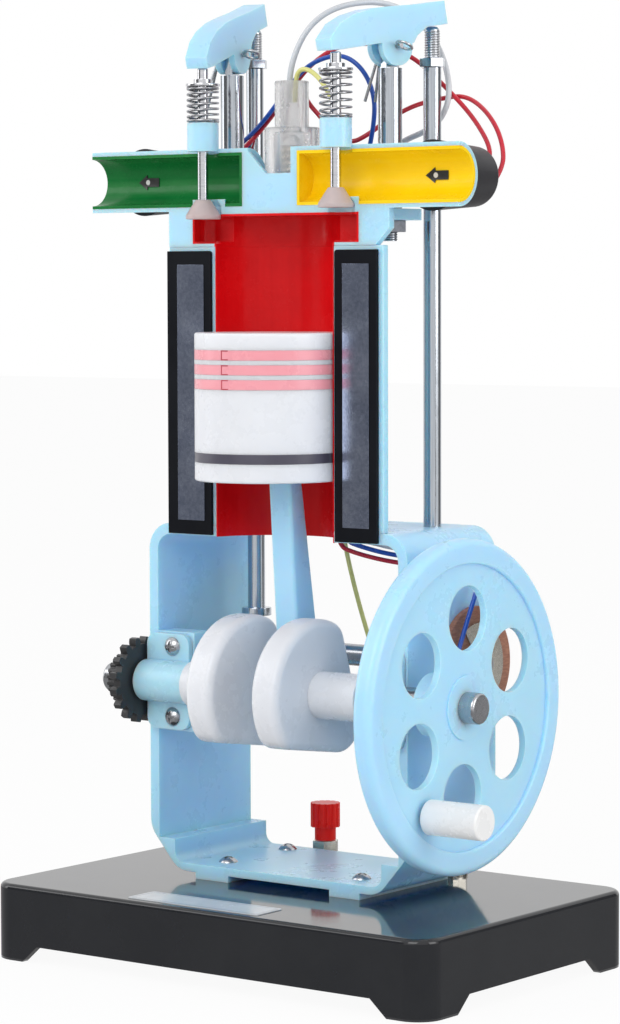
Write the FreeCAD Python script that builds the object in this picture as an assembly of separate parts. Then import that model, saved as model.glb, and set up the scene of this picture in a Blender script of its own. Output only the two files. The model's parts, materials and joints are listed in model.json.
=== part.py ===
"""Sectioned four-stroke single-cylinder engine model on a moulded base.

Millimetres. X runs along the crankshaft towards the flywheel, -Y is the cut-away
front, +Z is up. The origin is the centre of the base where its feet stand.
"""
import FreeCAD
import Part

import math
import os

V = FreeCAD.Vector

# ---------------------------------------------------------------- shared clearances
RUN_FIT = 0.05            # radial clearance of a shaft turning or sliding in its hole
FREE_GAP = 0.3            # gap between faces of different moving bodies

# ---------------------------------------------------------------- base
BASE_LENGTH = 196.4
BASE_WIDTH = 128.2
BASE_TOP = 28.0
BASE_WALL = 3.0
BASE_CORNER = 10.0
BASE_EDGE = 2.0
FOOT_HEIGHT = 6.1
FOOT_LENGTH_X = 16.0
FOOT_LENGTH_Y = 19.4
FOOT_SLANT = 7.0
LABEL_INSET = 11.6        # middle of the strip, from the front edge of the base
LABEL_CENTRE = (-8.5, LABEL_INSET - BASE_WIDTH / 2)
LABEL_SIZE = (59.0, 15.0)
LABEL_THICK = 0.3

# ---------------------------------------------------------------- main axes and planes
SECTION_Y = -14.4         # plane of the cut-away front
CRANK_Y = -17.6           # crankshaft, piston and valve axes share this plane
CRANK_Z = 100.8
BORE_X = -3.5             # cylinder axis

# ---------------------------------------------------------------- crankcase frame
FRAME_LEFT = -62.2
FRAME_RIGHT = 55.4
FRAME_BACK_GAP = 9.5      # from its back to the axes of the binding posts
FRAME_TOP = 159.2
FRAME_WALL = 4.0
FRAME_CORNER = 10.0
FLOOR_THICK = 3.0
FLOOR_RECESS = 2.4        # height of the floor above the base
FLOOR_CORNER_X = 13.0
FLOOR_CORNER_Z = 15.0
PAD_LEFT = (-40.9, -25.6)
PAD_RIGHT = (20.8, 34.2)
LEDGE_WIDTH = 7.5
LEDGE_HEIGHT = 8.5
BLOCK_WIDTH_LEFT = 21.2   # bearing blocks, from the outer face of the wall inwards
BLOCK_WIDTH_RIGHT = 13.0
BLOCK_HEIGHT = 36.7
BLOCK_DEPTH = 9.5

# ---------------------------------------------------------------- bearing caps and screws
CAP_THICK = 2.5
CAP_MARGIN = 0.7
CAP_CORNER = 4.0
BOSS_RADIUS = 7.7
BOSS_OVERHANG = 2.0
CAP_SCREW_INSET_LEFT = 12.8
CAP_SCREW_INSET_RIGHT = 6.6
CAP_SCREW_RISE = 13.0
SCREW_HEAD_RADIUS = 3.6
SCREW_HEAD_HEIGHT = 2.1
SCREW_SHANK_RADIUS = 1.6
CAP_SCREW_LENGTH = 9.0
RECESS_WIDTH = 0.9
RECESS_LENGTH = 4.2
RECESS_DEPTH = 1.1
BASE_SCREW_X = (-34.7, 26.7)
BASE_SCREW_Y = (-2.7, 33.3)
BASE_SCREW_LENGTH = 8.0

# ---------------------------------------------------------------- crankshaft
SHAFT_RADIUS = 5.5
SHAFT_LEFT_END = -78.5
SHAFT_RIGHT_END = 89.2
SHAFT_END_ROUND = 1.2
THROW = 17.6
THROW_ANGLE = -40.0       # crankpin direction, from +Y towards +Z
WEB_LEFT = (-21.6, -9.6)
WEB_RIGHT = (8.2, 20.2)
WEB_RADIUS = 27.0         # heavy end, round the crank axis
WEB_NOSE = 10.9           # small end, round the crankpin
WEB_FLARE = 32.0          # angle of each flank to the middle line
WEB_CORNER = 8.0
WEB_ROUND = 3.0
JOURNAL_RADIUS = 8.5
WEB_BORE_DEPTH = 8.0

# ---------------------------------------------------------------- timing gears and camshaft
GEAR_MODULE = 1.85
CRANK_TEETH = 16
CAM_TEETH = 32
GEAR_WIDTH = 3.2
GEAR_GAP = 0.5            # from the wall to the gears
GEAR_ADDENDUM = 1.15
GEAR_DEDENDUM = 1.5
GEAR_BACKLASH = 0.22
PRESSURE_ANGLE = 20.0
HUB_RADIUS = 9.7
HUB_WIDTH = 6.4
HUB_RIBS = 24
HUB_RIB_DEPTH = 0.7
CAM_ANGLE = 12.4          # direction from crank axis to cam axis, from +Y towards +Z
CAM_SHAFT_RADIUS = 4.0
CAM_SHAFT_LEFT_END = -70.0
CAM_BASE_RADIUS = 6.2
CAM_WIDTH = 8.0
CAM_NOSE_RADIUS = 2.8

# ---------------------------------------------------------------- flywheel
WHEEL_FACE = 83.9
WHEEL_WIDTH = 7.8
WHEEL_RADIUS = 58.4
RIM_THICK = 8.5
WHEEL_WEB = 2.6
WHEEL_WEB_SET_BACK = 1.6
WHEEL_EDGE = 3.0
WHEEL_STEP = 0.8          # rounding of the step from rim to web
WHEEL_HUB_RADIUS = 11.2
WHEEL_HUB_SET_BACK = 0.9
WHEEL_HUB_LENGTH = 15.0
WHEEL_HOLES = 6
WHEEL_HOLE_RADIUS = 11.35
WHEEL_HOLE_CIRCLE = 30.9
WHEEL_HOLE_ANGLE = 27.2
HANDLE_CIRCLE = 42.0
HANDLE_ANGLE = 236.7
HANDLE_RADIUS = 6.1
HANDLE_LENGTH = 22.8
HANDLE_EDGE = 0.8
HANDLE_PIN_RADIUS = 2.5
HANDLE_PIN_DEPTH = 20.0
HANDLE_SHOULDER = 1.2     # height of the pin shoulder on the wheel
HANDLE_RIVET = 1.5        # height and overhang of the rivet head behind it

# ---------------------------------------------------------------- connecting rod
ROD_X = 1.5
ROD_WIDTH = 9.8
ROD_LENGTH = 114.6
ROD_TOP_DEPTH = 5.4
ROD_BOTTOM_DEPTH = 15.4
ROD_EDGE = 1.4
ROD_EYE_RADIUS = 7.0
ROD_END_RADIUS = 8.6
CRANKPIN_RADIUS = 4.5
WRIST_PIN_RADIUS = 4.0

# ---------------------------------------------------------------- piston
PISTON_RADIUS = 26.5
PISTON_TOP = 229.7
PISTON_HEIGHT = 52.9
PISTON_WALL = 3.0
PISTON_CROWN = 5.0
PISTON_EDGE = 0.8
RING_DEPTH = 1.5
RING_HEIGHT = 3.6
RING_PITCH = 5.2
FIRST_RING = 7.8          # centre of the first ring below the crown
OIL_RING_HEIGHT = 3.5
OIL_RING = 44.4
WRIST_BOSS_RADIUS = 7.5
WRIST_PIN_BITE = 1.2

# ---------------------------------------------------------------- cylinder
BORE_RADIUS = 26.55
LINER_WALL = 0.5
BARREL_WALL = 2.4
BARREL_TOP = 260.5
LINER_DROP = 4.2
WING_LEFT = -52.0
WING_RIGHT = 45.2
WING_THICK = 3.0
PANEL_THICK = 1.4
PANEL_LEFT = (-51.9, -31.6)
PANEL_RIGHT = (24.6, 43.2)
PANEL_BOTTOM = 155.6
PANEL_TOP = 259.0
PANEL_CORNER = 1.2
FOIL_THICK = 0.3
FOIL_LEFT = (-46.9, -34.6)
FOIL_RIGHT = (28.4, 39.9)
FOIL_BOTTOM = 160.8
FOIL_TOP = 254.0

# ---------------------------------------------------------------- cylinder head
HEAD_LEFT = -52.0
HEAD_RIGHT = 47.7
HEAD_TOP = 273.5
HEAD_FRONT_WALL = 3.0
CHAMBER_LEFT = -40.8
CHAMBER_RIGHT = 34.4
CHAMBER_FLOOR = 261.6
CHAMBER_CEILING = 272.2
POCKET_DEPTH = 8.5        # chamber over the valves, from the section plane
POCKET_CORNER = 5.0
CHAMBER_LINING = 0.8
CASTING_WALL = 3.0
FLANGE_THICK = 4.0
FLANGE_BACK = 16.0
FLANGE_RIGHT = 42.0
FLANGE_LEFT = -46.5
HEAD_CHAMFER = 6.0

# ---------------------------------------------------------------- half pipes
PIPE_Z = 284.6
PIPE_OUTER = 11.2
PIPE_WALL = 1.5
PIPE_LINING = 1.1
EXHAUST_OPEN = -88.9
EXHAUST_CLOSED = -15.0
INTAKE_OPEN = 77.5
INTAKE_CLOSED = 4.3
PIPE_END_WALL = 2.8
MIDDLE_TOP = 286.5
MIDDLE_BACK = 8.0
GUSSET_RUN = 8.0
ARROW_LENGTH = 9.6
ARROW_HEAD = 4.2
ARROW_HEIGHT = 5.4
ARROW_SHAFT = 3.2
ARROW_THICK = 0.4
LAMP_X = (-68.8, 61.8)
LAMP_RADIUS = 1.0
CAP_FRONT = -8.0
CAP_BACK = 18.0
CAP_FRONT_RADIUS = 12.4
CAP_BACK_RADIUS = 10.6
CAP_EDGE = 1.5

# ---------------------------------------------------------------- valves
EXHAUST_X = -33.2
INTAKE_X = 26.9
STEM_RADIUS = 1.95
VALVE_HEAD_RADIUS = 6.35
VALVE_HEAD_HEIGHT = 7.0
VALVE_RIM = 1.4
VALVE_CLOSED_Z = 273.8    # underside of a closed valve head
VALVE_TOP_Z = 328.2       # top of a closed valve stem
VALVE_OPEN = 3.4          # exhaust valve, as it stands
SEAT_RADIUS = 8.2
SEAT_TOP = 277.6
VALVE_NECK = 1.2          # bevel where the head meets the stem
PORT_OVERRUN = 4.0        # how far a port cutter runs past its port
GUIDE_RADIUS = 5.7
GUIDE_BOTTOM = 294.8
GUIDE_TOP = 305.1
SPRING_RADIUS = 5.5
SPRING_WIRE = 0.42
SPRING_TURNS = 6.5
RETAINER_RADIUS = 6.15
RETAINER_THICK = 1.0
RETAINER_COLLAR = 3.3     # radius and, halved, height of its collar
RETAINER_Z = 321.6        # underside of a closed valve's spring retainer

# ---------------------------------------------------------------- rockers, posts and push rods
INTAKE_ROD_X = 37.7
EXHAUST_ROD_X = -43.4
VALVE_ARM = 24.9          # rocker pivot to valve
PIVOT_Z = 331.0
ROCKER_WIDTH = 8.5
ROCKER_HUB = 7.0
ROCKER_SLOT = 3.6
ROCKER_NOSE = 5.8         # end of the nose, in front of the valve axis
ROCKER_REAR = 48.4        # end of the rear arm, behind the valve axis
ROCKER_PAD = 38.5         # start of the flat over the push rod
ROCKER_BELLY = ((17.0, 0.6), (24.9, 0.6), (32.6, 1.4), (34.2, 4.0))  # underside, above the pivot
ROCKER_BACK = ((46.8, 17.0), (33.0, 15.0), (24.9, 14.2), (18.3, 13.4), (12.4, 12.5), (4.7, 10.2), (-1.4, 6.9))
TONGUE_THICK = 3.0
TONGUE_WIDTH = 6.0
POST_RADIUS = 4.3
COTTER_RADIUS = 0.9
COTTER_WIRE = 0.55
COTTER_EYE = 2.8
COTTER_LEG = (6.8, 19.0)  # how far its legs reach out and down
COTTER_SPLAY = (-2.2, 2.6)
NUT_FLATS = 8.0
NUT_HEIGHT = 4.2
NUT_STUD_RADIUS = 2.4
NUT_STUD_BELOW = 3.2
PUSH_RADIUS = 3.25
PUSH_TOP = 324.4
PUSH_NUT_FLATS = 8.6
PUSH_NUT_HEIGHT = 3.2
PUSH_STUD_RADIUS = 2.6
PUSH_STUD_TOP = 338.9
PUSH_STUD_DEPTH = 8.0
TAPPET_RADIUS = 5.6
TAPPET_HEIGHT = 3.0
CAM_LIFT = 3.0

# ---------------------------------------------------------------- spark plug lamp
PLUG_X = -3.5
PLUG_Y = -3.4
PLUG_SOCKET_RADIUS = 9.9
PLUG_SOCKET_TOP = 303.0
PLUG_SOCKET_WALL = 1.6
PLUG_CAP_RADIUS = 6.15
PLUG_CAP_TOP = 319.7
PLUG_CAP_BORE = 3.0
BULB_RADIUS = 4.2
BULB_HEIGHT = 14.0
BULB_THREAD_PITCH = 2.6
BULB_THREAD = 0.6
BULB_CAP = 3.0            # plain length at the top of the bulb

# ---------------------------------------------------------------- contact breaker
BOARD_RADIUS = 21.0
BOARD_THICK = 2.2
PLATE_RADIUS = 15.2
PLATE_THICK = 0.8
PLATE_SECTOR = 70.0
PLATE_SECTOR_START = 125.0
WIPER_THICK = 1.0
WIPER_LENGTH = 14.0
WIPER_WIDTH = 4.6
WIPER_ANGLE = 160.0
WIPER_COLLAR = 2.4

# ---------------------------------------------------------------- binding posts
BINDING_X = (-29.5, 30.5)
BINDING_INSET = 14.1      # from the rear edge of the base
BINDING_CAP_RADIUS = 5.6
BINDING_CAP_BOTTOM = 40.4
BINDING_CAP_TOP = 49.6
BINDING_FLUTES = 14
BINDING_FLUTE = 0.55
BINDING_NECK_RADIUS = 4.05
BINDING_NECK_BOTTOM = 35.4
BINDING_NUT_FLATS = 9.0
BINDING_STUD_RADIUS = 2.0
BINDING_WASHER_RADIUS = 5.0
BINDING_WASHER_TOP = 29.2
BINDING_STUD_ABOVE = 18.0
BINDING_STUD_BELOW = 5.0

# ---------------------------------------------------------------- wiring
WIRE_RADIUS = 0.85
LEAD_RADIUS = 1.05
BUNDLE_CENTRE = (0.1, 21.7)       # wires pass down through the top plate here
BUNDLE_RADIUS = 4.6
OUTLET_CENTRE = (28.5, 149.0)     # Y and Z of the wires' hole in the right wall
OUTLET_RADIUS = 4.0
RED_LAMP_TO_LAMP = [(-66.0, 18.7, 289.0), (-64.5, 22.5, 291.0), (-56.0, 22.0, 292.0), (-46.5, 18.6, 295.0),
                    (-37.4, 18.0, 301.0), (-25.6, 15.0, 309.8), (-16.3, 12.0, 317.0), (-8.2, 11.0, 324.6),
                    (-0.4, 12.0, 330.1), (6.6, 15.0, 333.5), (17.2, 25.0, 333.8), (25.0, 33.0, 328.4),
                    (30.6, 37.0, 322.2), (43.3, 37.0, 311.2), (53.4, 32.4, 303.3), (62.0, 27.0, 295.3),
                    (64.0, 23.5, 290.0), (63.5, 18.7, 287.0)]
RED_PLUG_TO_LAMP = [(-3.4, 3.4, 315.5), (-3.8, 7.0, 312.0), (0.9, 8.5, 306.8), (4.6, 10.5, 301.0),
                    (9.5, 14.5, 297.6), (15.2, 17.0, 300.5), (20.5, 22.0, 306.0), (25.6, 31.0, 311.4),
                    (31.0, 39.0, 313.8), (40.8, 39.8, 315.0), (50.6, 36.4, 311.5), (61.0, 31.0, 304.5),
                    (67.2, 27.5, 296.0), (69.4, 24.5, 287.5), (68.2, 18.7, 281.5)]
RED_LAMP_TO_BOARD = [(57.5, 18.7, 281.0), (54.0, 21.0, 281.0), (44.0, 18.0, 283.0), (32.0, 16.8, 284.0),
                     (20.0, 18.2, 279.5), (9.0, 18.4, 270.0), (1.0, 19.3, 257.0), (-1.8, 20.2, 240.0),
                     (-1.4, 19.6, 204.0), (-1.8, 20.2, 166.0), (-0.4, 19.8, 151.0), (7.0, 19.2, 148.8),
                     (20.0, 19.2, 146.6), (33.0, 19.0, 145.6), (44.0, 21.0, 145.7), (50.5, 28.6, 146.4),
                     (58.0, 29.8, 146.0), (60.4, 29.5, 138.0), (60.2, 30.0, 131.0), (59.4, 30.5, 125.5)]
BLUE_LAMP_TO_BOARD = [(-70.0, 18.7, 290.0), (-67.0, 24.5, 293.0), (-56.0, 25.0, 295.0), (-48.0, 20.6, 297.6),
                      (-35.8, 15.9, 303.4), (-27.0, 12.8, 308.6), (-14.8, 9.6, 318.6), (-5.7, 8.6, 326.0),
                      (4.7, 9.0, 329.2), (12.5, 9.4, 328.4), (19.0, 11.0, 322.5), (21.9, 12.6, 313.2),
                      (20.6, 13.4, 303.0), (14.5, 17.4, 291.0), (7.2, 20.8, 281.0), (2.8, 21.2, 268.0),
                      (1.8, 20.6, 236.0), (1.4, 20.0, 202.0), (1.7, 20.3, 168.0), (2.2, 20.3, 153.0),
                      (9.6, 19.4, 151.2), (21.0, 19.0, 149.2), (33.0, 18.9, 148.2), (43.5, 19.6, 148.6),
                      (50.5, 25.6, 149.4), (58.0, 26.4, 149.0), (60.6, 22.5, 140.5), (60.4, 16.6, 129.5),
                      (60.0, 11.2, 118.5), (59.3, 9.0, 112.0)]
YELLOW_PLUG_TO_POST = [(-2.1, -3.4, 312.0), (-2.1, -3.4, 319.6), (0.4, -3.8, 324.0), (5.4, -4.0, 323.4),
                       (10.9, -4.0, 318.8), (14.6, -3.0, 312.0), (14.8, 1.5, 304.5), (10.4, 8.5, 297.5),
                       (4.5, 15.5, 291.0), (-0.5, 19.5, 281.0), (-3.0, 22.2, 269.0), (-2.0, 23.2, 240.0),
                       (-1.6, 22.8, 202.0), (-1.9, 23.3, 166.0), (-0.6, 23.4, 153.0), (1.2, 28.0, 134.0),
                       (4.2, 33.4, 114.0), (9.4, 40.0, 88.0), (17.6, 44.6, 62.0), (23.5, 46.0, 44.0),
                       (26.0, 46.4, 34.4)]
WHITE_LEAD = [(-4.8, -3.4, 312.0), (-4.8, -3.4, 321.0), (-2.7, -2.0, 330.9), (0.6, 2.0, 339.9), (6.0, 9.0, 346.2),
              (12.6, 20.0, 348.9), (17.8, 30.0, 348.0), (22.0, 38.4, 343.2), (29.2, 40.0, 335.1),
              (37.0, 36.0, 324.7), (40.4, 33.0, 313.6), (36.8, 32.2, 305.6), (30.4, 31.0, 301.6),
              (22.5, 30.0, 299.0), (14.0, 28.0, 293.5), (7.0, 26.0, 283.0), (2.9, 24.8, 268.0),
              (2.0, 23.6, 236.0), (2.3, 24.2, 202.0), (1.9, 23.3, 168.0), (2.2, 23.2, 153.2),
              (12.4, 22.4, 152.8), (22.5, 19.6, 151.6), (33.0, 18.6, 151.0), (42.5, 20.2, 151.2),
              (49.6, 28.6, 151.0), (57.4, 30.4, 150.6), (61.0, 34.6, 144.5), (60.8, 36.8, 135.0),
              (58.9, 36.4, 126.4)]

# ---------------------------------------------------------------- derived positions
BINDING_Y = BASE_WIDTH / 2 - BINDING_INSET
FRAME_BACK = BINDING_Y - FRAME_BACK_GAP
FLOOR_BOTTOM = BASE_TOP + FLOOR_RECESS
FLOOR_TOP = FLOOR_BOTTOM + FLOOR_THICK
PLATE_UNDER = FRAME_TOP - FRAME_WALL
CENTRE_DISTANCE = GEAR_MODULE * (CRANK_TEETH + CAM_TEETH) / 2
CAM_Y = CRANK_Y + CENTRE_DISTANCE * math.cos(math.radians(CAM_ANGLE))
CAM_Z = CRANK_Z + CENTRE_DISTANCE * math.sin(math.radians(CAM_ANGLE))
PIN_Y = CRANK_Y + THROW * math.cos(math.radians(THROW_ANGLE))
PIN_Z = CRANK_Z + THROW * math.sin(math.radians(THROW_ANGLE))
ROD_TILT = math.degrees(math.asin((PIN_Y - CRANK_Y) / ROD_LENGTH))
WRIST_Z = PIN_Z + ROD_LENGTH * math.cos(math.radians(ROD_TILT))
LINER_OUTER = BORE_RADIUS + LINER_WALL
BARREL_OUTER = LINER_OUTER + BARREL_WALL
LINER_BOTTOM = FRAME_TOP - LINER_DROP
PIPE_INNER = PIPE_OUTER - PIPE_WALL
PIPE_BORE = PIPE_INNER - PIPE_LINING
GEAR_RIGHT = FRAME_LEFT - GEAR_GAP
GEAR_LEFT = GEAR_RIGHT - GEAR_WIDTH
TAPPET_BOTTOM = CAM_Z + CAM_BASE_RADIUS + CAM_LIFT + FREE_GAP
EXHAUST_SPAN = math.hypot(EXHAUST_ROD_X - EXHAUST_X, CAM_Y - CRANK_Y)
INTAKE_SPAN = math.hypot(INTAKE_ROD_X - INTAKE_X, CAM_Y - CRANK_Y)
EXHAUST_PUSH = VALVE_OPEN * (EXHAUST_SPAN - VALVE_ARM) / VALVE_ARM
EXHAUST_TILT = math.degrees(VALVE_OPEN / VALVE_ARM)


# ---------------------------------------------------------------- building helpers
def box(x, y, z):
    """Box between the low and high value of each axis."""
    return Part.makeBox(x[1] - x[0], y[1] - y[0], z[1] - z[0], V(x[0], y[0], z[0]))


def cyl_x(x, y, z, radius):
    """Cylinder along X between the two values of x."""
    return Part.makeCylinder(radius, x[1] - x[0], V(x[0], y, z), V(1, 0, 0))


def cyl_y(x, y, z, radius):
    """Cylinder along Y between the two values of y."""
    return Part.makeCylinder(radius, y[1] - y[0], V(x, y[0], z), V(0, 1, 0))


def cyl_z(x, y, z, radius):
    """Cylinder along Z between the two values of z."""
    return Part.makeCylinder(radius, z[1] - z[0], V(x, y, z[0]), V(0, 0, 1))


def cone_z(x, y, z, bottom, top):
    """Cone along Z between the two values of z."""
    return Part.makeCone(bottom, top, z[1] - z[0], V(x, y, z[0]), V(0, 0, 1))


def behind(shape, y=SECTION_Y):
    """The piece of a shape that lies behind a plane of constant Y."""
    room = shape.BoundBox
    keep = box((room.XMin - 1, room.XMax + 1), (y, max(room.YMax, y) + 1), (room.ZMin - 1, room.ZMax + 1))
    return shape.common(keep)


def prism(points, direction):
    """Solid made by pushing a closed polygon along a direction."""
    outline = Part.makePolygon(points + [points[0]])
    return Part.Face(outline).extrude(direction)


def join(first, *others):
    """One solid from several that touch or overlap."""
    return first.multiFuse(list(others)).removeSplitter()


def trim(shape, *tools):
    """A shape with several tools cut away."""
    return shape.cut(list(tools)).removeSplitter()


def on_circle(radius, angle):
    """Y and Z offsets of a point at an angle from +Y towards +Z."""
    return radius * math.cos(math.radians(angle)), radius * math.sin(math.radians(angle))


def fillet(shape, radius, chosen):
    """A shape with the edges that satisfy a test rounded."""
    edges = [edge for edge in shape.Edges if chosen(edge)]
    return shape.makeFillet(radius, edges)


def hexagon(x, y, z, flats):
    """Hexagonal nut blank along Z."""
    corner = flats / math.sqrt(3)
    points = []
    for step in range(6):
        angle = math.radians(60 * step)
        points.append(V(x + corner * math.cos(angle), y + corner * math.sin(angle), z[0]))
    return prism(points, V(0, 0, z[1] - z[0]))


def fluted(x, y, z, radius, flutes, depth):
    """Grip cylinder along Z with round flutes."""
    grip = cyl_z(x, y, z, radius)
    cutters = []
    for step in range(flutes):
        angle = 2 * math.pi * step / flutes
        cutters.append(cyl_z(x + radius * math.cos(angle), y + radius * math.sin(angle), z, depth))
    return trim(grip, *cutters)


def gear(x, y, z, teeth, first_angle):
    """Spur gear along X with involute flanks; first_angle points at a tooth."""
    pitch = GEAR_MODULE * teeth / 2
    base = pitch * math.cos(math.radians(PRESSURE_ANGLE))
    tip = pitch + GEAR_ADDENDUM
    root = pitch - GEAR_DEDENDUM
    tool = math.radians(PRESSURE_ANGLE)
    half_pitch = (math.pi * GEAR_MODULE / 2 - GEAR_BACKLASH) / (2 * pitch)
    flank = []
    for step in range(5):
        radius = max(base, root) + (tip - max(base, root)) * step / 4
        roll = math.acos(min(1.0, base / radius))
        flank.append((radius, half_pitch + math.tan(tool) - tool - math.tan(roll) + roll))
    flank.insert(0, (root, flank[0][1]))
    points = []
    for tooth in range(teeth):
        middle = math.radians(first_angle) + 2 * math.pi * tooth / teeth
        for radius, half in flank:
            points.append(V(x[0], y + radius * math.cos(middle - half), z + radius * math.sin(middle - half)))
        for radius, half in reversed(flank):
            points.append(V(x[0], y + radius * math.cos(middle + half), z + radius * math.sin(middle + half)))
    return prism(points, V(x[1] - x[0], 0, 0))


def pan_screw(origin, direction, length):
    """Pan-head screw: origin under the head, direction pointing out of the head."""
    ball = (SCREW_HEAD_RADIUS ** 2 + SCREW_HEAD_HEIGHT ** 2) / (2 * SCREW_HEAD_HEIGHT)
    dome = Part.makeSphere(ball, V(0, 0, SCREW_HEAD_HEIGHT - ball))
    head = dome.common(Part.makeCylinder(SCREW_HEAD_RADIUS, SCREW_HEAD_HEIGHT))
    shank = Part.makeCylinder(SCREW_SHANK_RADIUS, length, V(0, 0, -length))
    screw = join(head, shank)
    cutters = []
    for size in ((RECESS_LENGTH, RECESS_WIDTH), (RECESS_WIDTH, RECESS_LENGTH)):
        corner = V(-size[0] / 2, -size[1] / 2, SCREW_HEAD_HEIGHT - RECESS_DEPTH)
        cutters.append(Part.makeBox(size[0], size[1], RECESS_DEPTH + 1, corner))
    screw = trim(screw, *cutters)
    screw.Placement = FreeCAD.Placement(origin, FreeCAD.Rotation(V(0, 0, 1), direction))
    return screw


def tube(points, radius, name):
    """Round wire along straight runs joined by tangent arcs; prints its bend radii."""
    nodes = [V(*point) for point in points]
    edges = []
    bends = []
    start = nodes[0]
    for before, corner, after in zip(nodes, nodes[1:], nodes[2:]):
        back = before - corner
        ahead = after - corner
        reach = 0.45 * min(back.Length, ahead.Length)
        half_turn = (math.pi - back.getAngle(ahead)) / 2
        bend = reach / math.tan(half_turn)
        enter = corner + V(back).normalize() * reach
        leave = corner + V(ahead).normalize() * reach
        middle = V(V(back).normalize() + V(ahead).normalize()).normalize()
        crest = corner + middle * (bend / math.cos(half_turn) - bend)
        edges.append(Part.LineSegment(start, enter).toShape())
        edges.append(Part.Arc(enter, crest, leave).toShape())
        bends.append(round(bend, 1))
        start = leave
    edges.append(Part.LineSegment(start, nodes[-1]).toShape())
    path = Part.Wire(edges)
    section = Part.Wire(Part.makeCircle(radius, nodes[0], nodes[1] - nodes[0]))
    solid = Part.Solid(path.makePipeShell([section], True, False))
    print(name, "length", round(path.Length, 1), "bends", bends)
    return solid


def spring(x, y, z):
    """Helical compression spring along Z between two faces."""
    start = z[0] + SPRING_WIRE + FREE_GAP / 3
    height = z[1] - SPRING_WIRE - FREE_GAP / 3 - start
    helix = Part.makeHelix(height / SPRING_TURNS, height, SPRING_RADIUS)
    helix.translate(V(x, y, start))
    section = Part.Wire(Part.makeCircle(SPRING_WIRE, V(x + SPRING_RADIUS, y, start), V(0, 1, 0)))
    return Part.Solid(Part.Wire(helix.Edges).makePipeShell([section], True, True))


# ---------------------------------------------------------------- base
def build_base():
    """Hollow plinth on four corner feet, with the holes for screws and posts."""
    def plinth(inset, z):
        half_x, half_y = BASE_LENGTH / 2 - inset, BASE_WIDTH / 2 - inset
        return fillet(box((-half_x, half_x), (-half_y, half_y), z), BASE_CORNER - inset,
                      lambda edge: abs(edge.Vertexes[0].Z - edge.Vertexes[-1].Z) > 1)

    outer = plinth(0.0, (0.0, BASE_TOP))
    outer = fillet(outer, BASE_EDGE, lambda edge: min(v.Z for v in edge.Vertexes) > BASE_TOP - 0.01)
    inner = plinth(BASE_WALL, (-1.0, BASE_TOP - BASE_WALL))
    half_x = BASE_LENGTH / 2 - FOOT_LENGTH_X
    half_y = BASE_WIDTH / 2 - FOOT_LENGTH_Y
    gap_x = prism([V(-half_x, -BASE_WIDTH, 0), V(half_x, -BASE_WIDTH, 0),
                   V(half_x - FOOT_SLANT, -BASE_WIDTH, FOOT_HEIGHT),
                   V(-half_x + FOOT_SLANT, -BASE_WIDTH, FOOT_HEIGHT)], V(0, 2 * BASE_WIDTH, 0))
    gap_y = prism([V(-BASE_LENGTH, -half_y, 0), V(-BASE_LENGTH, half_y, 0),
                   V(-BASE_LENGTH, half_y - FOOT_SLANT, FOOT_HEIGHT),
                   V(-BASE_LENGTH, -half_y + FOOT_SLANT, FOOT_HEIGHT)], V(2 * BASE_LENGTH, 0, 0))
    holes = []
    for x in BASE_SCREW_X:
        for y in BASE_SCREW_Y:
            holes.append(cyl_z(x, y, (BASE_TOP - BASE_WALL - 1, BASE_TOP + 1), SCREW_SHANK_RADIUS))
    for x in BINDING_X:
        holes.append(cyl_z(x, BINDING_Y, (BASE_TOP - BASE_WALL - 1, BASE_TOP + 1), BINDING_STUD_RADIUS))
    return trim(outer, inner, gap_x, gap_y, *holes)


def build_label():
    """Blank rating plate on the base."""
    x = LABEL_CENTRE[0]
    y = LABEL_CENTRE[1]
    return box((x - LABEL_SIZE[0] / 2, x + LABEL_SIZE[0] / 2), (y - LABEL_SIZE[1] / 2, y + LABEL_SIZE[1] / 2),
               (BASE_TOP, BASE_TOP + LABEL_THICK))


# ---------------------------------------------------------------- frame
def bearing_block(side):
    """Bearing block range in X for the left (-1) or right (+1) wall."""
    if side < 0:
        return FRAME_LEFT, FRAME_LEFT + BLOCK_WIDTH_LEFT
    return FRAME_RIGHT - BLOCK_WIDTH_RIGHT, FRAME_RIGHT


def cap_screw_x(side):
    """X of the two cap screws on one side."""
    if side < 0:
        return FRAME_LEFT + CAP_SCREW_INSET_LEFT
    return FRAME_RIGHT - CAP_SCREW_INSET_RIGHT


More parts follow.
